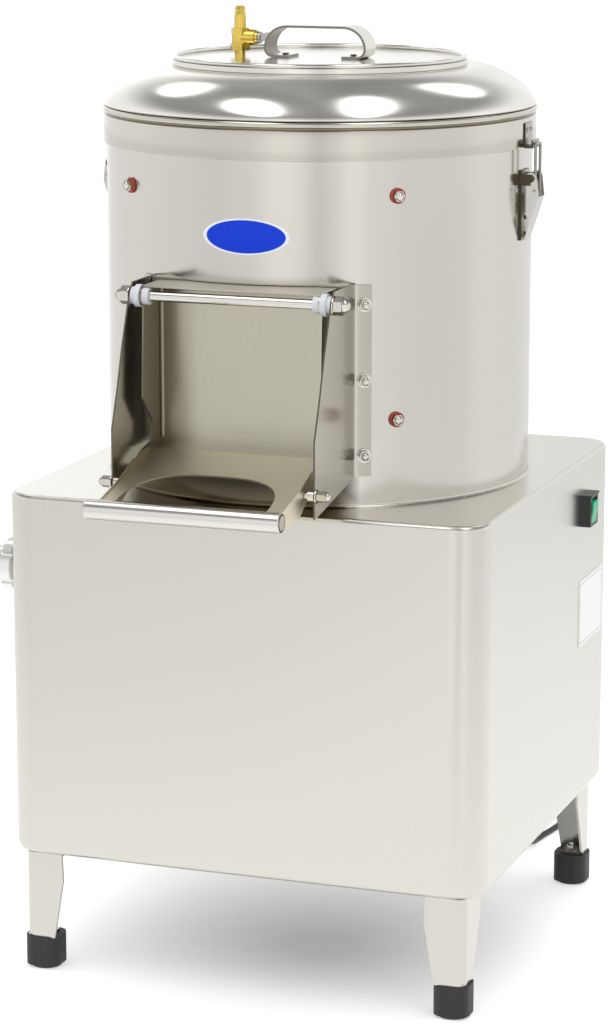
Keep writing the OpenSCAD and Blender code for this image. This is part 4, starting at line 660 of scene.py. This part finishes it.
# Latches. Pressed stainless toggles: a riveted base, a folded lever and a wire bail that
# pulls down the hook on the lid's band; the wire is bright and the pressings are satin.
latch_steel = finish_of("pressed latch steel", (0.60, 0.59, 0.55), 0.2, 1.0, grain=(90, 90, 1500), cloud=50.0,
                        spread=0.14, grain_depth=0.10, cloud_depth=0.12, bump=0.1)
dress(["latch_lever_left", "latch_lever_right"], latch_steel)
# The bases and hooks are darker than the levers, painted shade, with painted shade on their sheared edges
# too.
base_steel = finish_of("pressed base steel", (0.42, 0.405, 0.36), 0.24, 1.0, grain=(90, 90, 1500), cloud=50.0,
                       spread=0.14, grain_depth=0.10, cloud_depth=0.12, bump=0.1)
dull_and_shade_edges(base_steel, (1, 0, 0), (0.085, 0.075, 0.05), 0.5)
dress(["latch_bases", "lid_hooks"], base_steel)
bail_wire = finish_of("bright bail wire", (0.33, 0.32, 0.28), 0.2, 1.0, grain=(500, 500, 60), cloud=80.0,
                      spread=0.08, grain_depth=0.08, cloud_depth=0.08, bump=0.06)
dress(["latch_bail_left", "latch_bail_right"], bail_wire)

# Badge. A blank enamelled oval, blue inside a raised white rim, curved to the drum and stuck
# on; nothing is printed on it.
BADGE_RIM = (0.905, 0.93)
BADGE_BLUES = ((0.0, 0.035, 0.58, 1), (0.002, 0.05, 0.70, 1))
BADGE_WHITE = (0.82, 0.86, 0.92, 1)
badge_middle, badge_half = middle_and_half("badge")
badge_enamel, tree, shader = new_finish("badge enamel")
place = add_node(tree, "ShaderNodeTexCoord").outputs["Object"]
inside = reckon_way(tree, "SUBTRACT", place, badge_middle)
oval = reckon_way(tree, "MULTIPLY", inside, (1 / badge_half.x, 0, 1 / badge_half.z))
reach = reckon_way(tree, "LENGTH", oval)
rim = rescale(tree, reach, BADGE_RIM)
speck = add_node(tree, "ShaderNodeTexNoise", {"Vector": place, "Scale": 260.0, "Detail": 3.0}).outputs[0]
blue = blend_colour(tree, speck, *BADGE_BLUES)
shade = blend_colour(tree, rim, blue, BADGE_WHITE)
gloss = rescale(tree, speck, (0.0, 1.0), (0.24, 0.34))
finish_with(tree, shader, shade, gloss, rim, 0.5, 0.3)
shader.inputs["Specular IOR Level"].default_value = 0.2
dress(["badge"], badge_enamel)

# Rating plate. A blank white foil label with rounded corners and one thin printed line round
# its edge, stuck to the cabinet's side.
LINE_IN = 0.0035
LINE_HALF = 0.0004
FOIL_WHITES = ((0.87, 0.875, 0.88, 1), (0.92, 0.92, 0.925, 1))
LINE_GREY = (0.42, 0.43, 0.46, 1)
plate_middle, plate_half = middle_and_half("rating_plate")
plate_foil, tree, shader = new_finish("plate foil")
place = add_node(tree, "ShaderNodeTexCoord").outputs["Object"]
inside = reckon_way(tree, "SUBTRACT", place, plate_middle)
far = reckon_way(tree, "ABSOLUTE", inside)
left = reckon_way(tree, "SUBTRACT", plate_half, far)
ways = add_node(tree, "ShaderNodeSeparateXYZ", {0: left})
near_edge = reckon(tree, "MINIMUM", ways.outputs["Y"], ways.outputs["Z"])
line_mask = reckon(tree, "COMPARE", near_edge, LINE_IN, LINE_HALF)
paper = add_node(tree, "ShaderNodeTexNoise", {"Vector": place, "Scale": 900.0, "Detail": 3.0}).outputs[0]
ground = blend_colour(tree, paper, *FOIL_WHITES)
shade = blend_colour(tree, line_mask, ground, LINE_GREY)
gloss = rescale(tree, paper, (0.0, 1.0), (0.35, 0.5))
finish_with(tree, shader, shade, gloss, paper, 0.05, 0.1)
dress(["rating_plate"], plate_foil)

# Switch. A moulded black housing with a spark-eroded texture, snapped into the side wall,
# and a glossy translucent green rocker that pivots in it.
switch_black = finish_of("black switch moulding", (0.018, 0.018, 0.02), 0.38, grain=(1500, 1500, 1500),
                         cloud=90.0, spread=0.3, grain_depth=0.12, cloud_depth=0.08, bump=0.3, bump_mm=0.04)
dress(["switch_housing"], switch_black)
rocker_green = finish_of("green rocker moulding", (0.03, 0.44, 0.20), 0.22, grain=(900, 900, 900), cloud=70.0,
                         spread=0.12, grain_depth=0.06, cloud_depth=0.06, bump=0.1)
rocker_green.node_tree.nodes["Principled BSDF"].inputs["Specular IOR Level"].default_value = 0.15
dress(["switch_rocker"], rocker_green)

# Drain. A welded stub through the left wall, a union nut and a hose tail, all turned from
# stainless bar and left with their fine tool rings.
drain_steel = finish_of("turned drain steel", (0.82, 0.82, 0.81), 0.3, 1.0, grain=(1600, 60, 60), cloud=35.0,
                        spread=0.12, grain_depth=0.10, cloud_depth=0.14, bump=0.1)
dress(["drain_union_nut", "drain_hose_tail"], drain_steel)

# Motor and drive. A grey enamelled motor hangs beside the drum's sump and turns the spindle
# through a ribbed belt; the pulleys and bearing housing are machined castings.
motor_enamel = finish_of("grey motor enamel", (0.14, 0.16, 0.19), 0.42, grain=(500, 500, 500), cloud=25.0,
                         spread=0.25, grain_depth=0.10, cloud_depth=0.15, bump=0.5, bump_mm=0.15, coat=0.2)
dress(["motor"], motor_enamel)
cast_iron = finish_of("machined casting", (0.42, 0.42, 0.43), 0.35, 1.0, grain=(300, 300, 1600), cloud=30.0,
                      spread=0.3, grain_depth=0.12, cloud_depth=0.18, bump=0.3, bump_mm=0.08)
dress(["motor_pulley", "driven_pulley", "bearing_housing"], cast_iron)
belt_rubber = finish_of("belt rubber", (0.025, 0.024, 0.023), 0.7, grain=(900, 900, 900), cloud=50.0,
                        spread=0.5, grain_depth=0.12, cloud_depth=0.15, bump=0.5, bump_mm=0.1)
dress(["drive_belt"], belt_rubber)
bronze = finish_of("turned bush bronze", (0.62, 0.40, 0.17), 0.26, 1.0, grain=(200, 200, 1500), cloud=60.0,
                   spread=0.3, grain_depth=0.12, cloud_depth=0.14, bump=0.15)
dress(["bearing_bushes"], bronze)
dress(["spindle"], fastener_steel)

# Mains cord. A round rubber sheathed lead, 1.8 m long, pushed through the gland low in the
# rear wall; it drops to the floor, passes behind the rear leg and is wound into a coil of
# two layers there, held by a tie, with the moulded plug lying beside it.
CORD_R = 3.5
WALL_Y = 245.0
FLOOR_Z = CORD_R + 0.05
CORD_DROP = [
    (140, WALL_Y, 150), (140, 257, 150), (140, 269, 150), (140.3, 281.2, 147.6),
    (140.6, 291.6, 140.6), (140.9, 298.6, 130.2), (141.2, 301, 116), (141.8, 301, 90),
    (142.4, 301, 62), (143, 301, 41.5), (143.5, 304.6, 25.4), (144, 314.6, 12.4),
    (144.4, 327.3, 5.4),
]
CORD_ON_FLOOR = [
    (145.4, 342), (148, 360), (152, 382), (154.6, 402), (154, 420), (149, 437), (138, 450),
    (122, 457.5), (103, 459.4), (84, 457.2), (68, 452.6),
]
COIL_AT = (52.0, 400.0)
COIL_OUTER = 50.0
COIL_PITCH = 7.15
COIL_TURNS = 5.25
COIL_MIDDLE = 2.62
COIL_CLIMB = 0.4
CORD_TO_PLUG = [(2.0, 391, 10.3), (0.3, 381, 8.6), (-0.6, 371, 6.6), (-1, 362, 5.7)]


def coil_turns(steps=24):
    """In along the floor, up at the middle and out again on top."""
    found = []
    for k in range(int(COIL_TURNS * steps) + 1):
        turn = k / steps
        r = COIL_OUTER - COIL_PITCH * (turn if turn < COIL_MIDDLE else 2 * COIL_MIDDLE - turn)
        up = min(1.0, max(0.0, (turn - COIL_MIDDLE) / COIL_CLIMB + 0.5))
        z = FLOOR_Z + 2 * CORD_R * (3 * up ** 2 - 2 * up ** 3)
        a = math.radians(90) + 2 * math.pi * turn
        found.append((COIL_AT[0] + r * math.cos(a), COIL_AT[1] + r * math.sin(a), z))
    return found


cord_rubber = finish_of("cord rubber", (0.022, 0.022, 0.024), 0.5, grain=(500, 500, 500), cloud=40.0,
                        spread=0.3, grain_depth=0.12, cloud_depth=0.12, bump=0.15)
route = CORD_DROP + [(x, y, FLOOR_Z) for x, y in CORD_ON_FLOOR] + coil_turns() + CORD_TO_PLUG
line = bpy.data.curves.new("power_cord_line", "CURVE")
line.dimensions = "3D"
line.bevel_depth = CORD_R / 1000
line.bevel_resolution = 5
line.resolution_u = 4
line.use_fill_caps = True
spline = line.splines.new("BEZIER")
spline.bezier_points.add(len(route) - 1)
for knot, place in zip(spline.bezier_points, route):
    knot.co = at(*place)
    knot.handle_left_type = knot.handle_right_type = "AUTO"
line.materials.append(cord_rubber)
mains_cord = put_in("mains_cord", line)
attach(mains_cord, "frame")
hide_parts("power_cord", "cord_coil")

# The tie is a soft woven strap pulled snug round the coil's turns, with its tail tucked
# under; it lies flat below the turns and domes over them.
TIE_HALF = 14.5
TIE_CORNERS = ((-TIE_HALF, 1.3, 1.3, 180), (TIE_HALF, 1.3, 1.3, 270), (TIE_HALF, 12.3, 3.4, 0),
               (-TIE_HALF, 12.3, 3.4, 90))
TIE_EDGE = ((-4.5, 0.6), (-4.0, 0.0), (4.0, 0.0), (4.5, 0.6), (4.0, 1.1), (-4.0, 1.1))
TIE_TURN = math.radians(318)
TIE_MIDDLE_Z = 8.0
tie_section = [p for x, z, r, turn in TIE_CORNERS for p in arc(x, z, r, turn, turn + 90, 6)]
tie_middle = COIL_OUTER - COIL_PITCH * COIL_MIDDLE / 2
points = []
for side, inset in TIE_EDGE:
    for x, z in tie_section:
        r = tie_middle + x * (1 - inset / 18)
        up = (z - TIE_MIDDLE_Z) * (1 - inset / 8)
        points.append((COIL_AT[0] + r * math.cos(TIE_TURN) - side * math.sin(TIE_TURN),
                       COIL_AT[1] + r * math.sin(TIE_TURN) + side * math.cos(TIE_TURN),
                       0.05 + up + TIE_MIDDLE_Z))
n, loops = len(tie_section), len(TIE_EDGE)
faces = [(k * n + i, k * n + (i + 1) % n, (k + 1) % loops * n + (i + 1) % n, (k + 1) % loops * n + i)
         for k in range(loops) for i in range(n)]
tie_cloth = finish_of("tie webbing", (0.03, 0.03, 0.032), 0.8, grain=(2500, 2500, 2500), cloud=60.0,
                      spread=0.5, grain_depth=0.1, cloud_depth=0.1, bump=0.6, bump_mm=0.15)
cord_tie = mesh_piece("cord_tie", points, faces, tie_cloth, "frame")

# The plug is a round moulded two-pin safety plug lying on its side; its ribbed boot tapers
# onto the cord and its two pins are turned from brass and plated.
PLUG_AT = (-1.0, 388.0)
BOOT_Z = 5.7
PLUG_Z = 18.0
BOOT_BACK = 12
GRIP_BACK = 36
PIN_BACK = 68.8
PIN_SIDE = 9.5
boot = [(3.55, 0), (4.1, 0.5)]
for k in range(5):
    y, r = 2 + 4.2 * k, 4.3 + 0.22 * k
    boot += [(r, y), (r, y + 2.6), (r - 0.8, y + 3.0), (r - 0.8, y + 3.9)]
boot += [(5.3, 23.4), (5.3, 25), (3.0, 25)]
grip = [(10.0, 0), (14.0, 1.0), (16.4, 6), (17.6, 12), (17.9, 15), (17.2, 16.2), (17.2, 18.4),
        (17.9, 19.6), (17.9, 31.5), (17.2, 32.8), (15.4, 33.4), (15.0, 32.9), (0.02, 32.9), (0.02, 0)]


def lying(profile, x, y, z, segments=64):
    """A turned shape laid down so that its axis runs to the front."""
    made, faces = turned(profile, segments)
    return [(x + px, y - pz, z + py) for px, py, pz in made], faces


points, faces = lying(boot, PLUG_AT[0], PLUG_AT[1] - BOOT_BACK, BOOT_Z)
plug_boot = mesh_piece("plug_boot", points, faces, cord_rubber, "frame")
points, faces = lying(grip, PLUG_AT[0], PLUG_AT[1] - GRIP_BACK, PLUG_Z)
plug_grip = mesh_piece("plug_grip", points, faces, cord_rubber, "frame")
pin_brass = finish_of("plated pin brass", (0.75, 0.74, 0.70), 0.25, 1.0, grain=(400, 400, 400), cloud=80.0,
                      spread=0.05, grain_depth=0.1, cloud_depth=0.08)
pin = [(0.02, 0), (2.4, 0), (2.4, 16.6), (1.9, 18.3), (1.0, 19), (0.02, 19)]
for side in (-1, 1):
    points, faces = lying(pin, PLUG_AT[0] + PIN_SIDE * side, PLUG_AT[1] - PIN_BACK, PLUG_Z, 32)
    mesh_piece("plug_pin_" + ("left" if side < 0 else "right"), points, faces,
                                pin_brass, "frame")
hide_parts("plug")
dress(["cable_gland"], cord_rubber)

# Studio. A white paper floor without an edge, a white room that thins out to grey overhead
# and is dim where the camera stands, and four oval soft boxes round the top of the machine.
# The floor's glow is painted: to the eye it glows less round the machine's foot, a painted shadow, and in
# reflections it glows brighter near the machine, painted light, and dim under it, a painted shadow.
ROOM_TONES = ((-180, 1.0), (-166, 0.90), (-154, 1.28), (-132, 1.0), (-91, 1.02), (-60, 0.96), (-36, 0.90),
              (-18, 0.94), (-2, 1.16), (8, 1.10), (19, 0.82), (27, 0.96), (36, 1.18), (48, 1.02),
              (68, 0.95), (93, 0.94), (118, 1.06), (150, 1.0), (180, 0.94))
PAINTED_FLOOR_SHADOW_AT = (30, -80, 0)
FLOOR_GLOW_SPAN = (0.03, 0.26)
FLOOR_GLOW = (1.1, 2.5)
EYE_SHARE = 0.2
METAL_SHARE = 0.9
PAINTED_REFLECTED_SHADOW = ((-250, -250, -100), (265, 265, 100))
CEILING_SPAN = (0.30, 0.66)
CEILING_TONE = (1.1, 0.34)
LAMPS_ROUND = (0, 0, 900)
LAMP_DISTANCE = 2.3


def build_room_group():
    """How light the room is in each direction round the machine."""
    tree, given, out = start_group("room tone", [("Way", VECTOR, (0, 0, 0))], [("Tone", FLOAT)])
    ways = add_node(tree, "ShaderNodeSeparateXYZ", {0: given.outputs["Way"]})
    front = reckon(tree, "MULTIPLY", ways.outputs["Y"], -1.0)
    turn = reckon(tree, "ARCTAN2", ways.outputs["X"], front)
    ramp = add_node(tree, "ShaderNodeValToRGB", {0: rescale(tree, turn, (-math.pi, math.pi))})
    ramp.color_ramp.interpolation = "EASE"
    while len(ramp.color_ramp.elements) < len(ROOM_TONES):
        ramp.color_ramp.elements.new(0.5)
    for stop, (azimuth, tone) in zip(ramp.color_ramp.elements, ROOM_TONES):
        stop.position = (azimuth + 180) / 360
        stop.color = (tone / 2, tone / 2, tone / 2, 1)
    tone = reckon(tree, "MULTIPLY", ramp.outputs[0], 2.0)
    tree.links.new(tone, out.inputs["Tone"])
    return tree


ROOM = build_room_group()
floor_mesh = bpy.data.meshes.new("paper_floor")
floor_mesh.from_pydata([(-14, -10, 0), (14, -10, 0), (14, 16, 0), (-14, 16, 0)], [], [(0, 1, 2, 3)])
floor = put_in("paper_floor", floor_mesh)
paper_white, tree, shader = new_finish("white paper")
tree.nodes.remove(shader)
out = next(n for n in tree.nodes if n.bl_idname == "ShaderNodeOutputMaterial")
place = add_node(tree, "ShaderNodeTexCoord").outputs["Object"]
around = reckon_way(tree, "SUBTRACT", place, at(0, 0, 0))
distance = reckon_way(tree, "LENGTH", around)
# The floor glows brighter near the machine in reflections, painted light.
near = rescale(tree, distance, (0.5, 2.6), (1.24, 0.98))
tone = add_node(tree, "ShaderNodeGroup", {0: around}, node_tree=ROOM).outputs["Tone"]
far_tone = rescale(tree, distance, (0.8, 2.2))
tone = blend_value(tree, far_tone, 1.0, tone)
metal_sees = reckon(tree, "MULTIPLY", near, tone)
# Painted shadow under the machine in the floor's reflections.
under = soft_block(tree, *PAINTED_REFLECTED_SHADOW, 0.09)
metal_sees = reckon(tree, "MULTIPLY", metal_sees, rescale(tree, under, (0.0, 1.0), (1.0, 0.3)))
path = add_node(tree, "ShaderNodeLightPath")
# To the eye the floor glows less round the machine's foot, a painted shadow.
shaded = reckon_way(tree, "DISTANCE", place, at(*PAINTED_FLOOR_SHADOW_AT))
eye_sees = rescale(tree, shaded, FLOOR_GLOW_SPAN, FLOOR_GLOW)
strength = blend_value(tree, path.outputs["Is Glossy Ray"], eye_sees, metal_sees)
matt = add_node(tree, "ShaderNodeBsdfDiffuse", {"Color": (0.86, 0.86, 0.86, 1)})
lit = add_node(tree, "ShaderNodeEmission", {"Color": (1, 1, 1, 1), "Strength": strength})
camera_share = reckon(tree, "MULTIPLY", path.outputs["Is Camera Ray"], EYE_SHARE)
metal_share = reckon(tree, "MULTIPLY", path.outputs["Is Glossy Ray"], METAL_SHARE)
share = reckon(tree, "ADD", camera_share, metal_share)
both = add_node(tree, "ShaderNodeMixShader", {0: share, 1: matt.outputs[0], 2: lit.outputs[0]})
tree.links.new(both.outputs[0], out.inputs["Surface"])
floor_mesh.materials.append(paper_white)

world = bpy.data.worlds.new("studio")
bpy.context.scene.world = world
world.use_nodes = True
tree = world.node_tree
room = tree.nodes["Background"]
path = add_node(tree, "ShaderNodeLightPath")
way = add_node(tree, "ShaderNodeTexCoord").outputs["Generated"]
up = add_node(tree, "ShaderNodeSeparateXYZ", {0: way}).outputs["Z"]
ceiling = rescale(tree, up, CEILING_SPAN, CEILING_TONE, interpolation_type="SMOOTHSTEP")
tone = add_node(tree, "ShaderNodeGroup", {0: way}, node_tree=ROOM).outputs["Tone"]
metal_sees = reckon(tree, "MULTIPLY", ceiling, tone)
metal = blend_value(tree, path.outputs["Is Glossy Ray"], 1.0, metal_sees)
clear = reckon(tree, "MAXIMUM", path.outputs["Is Camera Ray"], path.outputs["Is Transmission Ray"])
strength = blend_value(tree, clear, metal, 1.0)
tree.links.new(strength, room.inputs["Strength"])
room.inputs["Color"].default_value = (1, 1, 1, 1)


def soft_box(name, way_out, along, size, power):
    """An oval lamp that lies from the lid along way_out, with its long side along the given way."""
    light = bpy.data.lights.new(name, "AREA")
    light.shape = "ELLIPSE"
    light.size, light.size_y = size
    light.energy = power
    lamp = put_in(name, light)
    z = Vector(way_out).normalized()
    y = (Vector(along) - z * z.dot(Vector(along))).normalized()
    turn = Matrix((y.cross(z), y, z)).transposed().to_4x4()
    lamp.matrix_world = Matrix.Translation(at(*LAMPS_ROUND) + z * LAMP_DISTANCE) @ turn


soft_box("back_left_box", (-0.607, 0.387, 0.694), (0.312, 0.92, -0.239), (0.62, 0.94), 3.0)
soft_box("front_left_box", (-0.288, -0.427, 0.857), (-0.241, 0.939, 0.246), (0.9, 2.3), 10)
soft_box("right_box", (0.399, -0.214, 0.892), (-0.459, 0.816, 0.352), (0.85, 2.8), 11.5)
soft_box("back_right_box", (0.242, 0.674, 0.698), (0.97, -0.218, -0.11), (0.66, 0.9), 3.0)
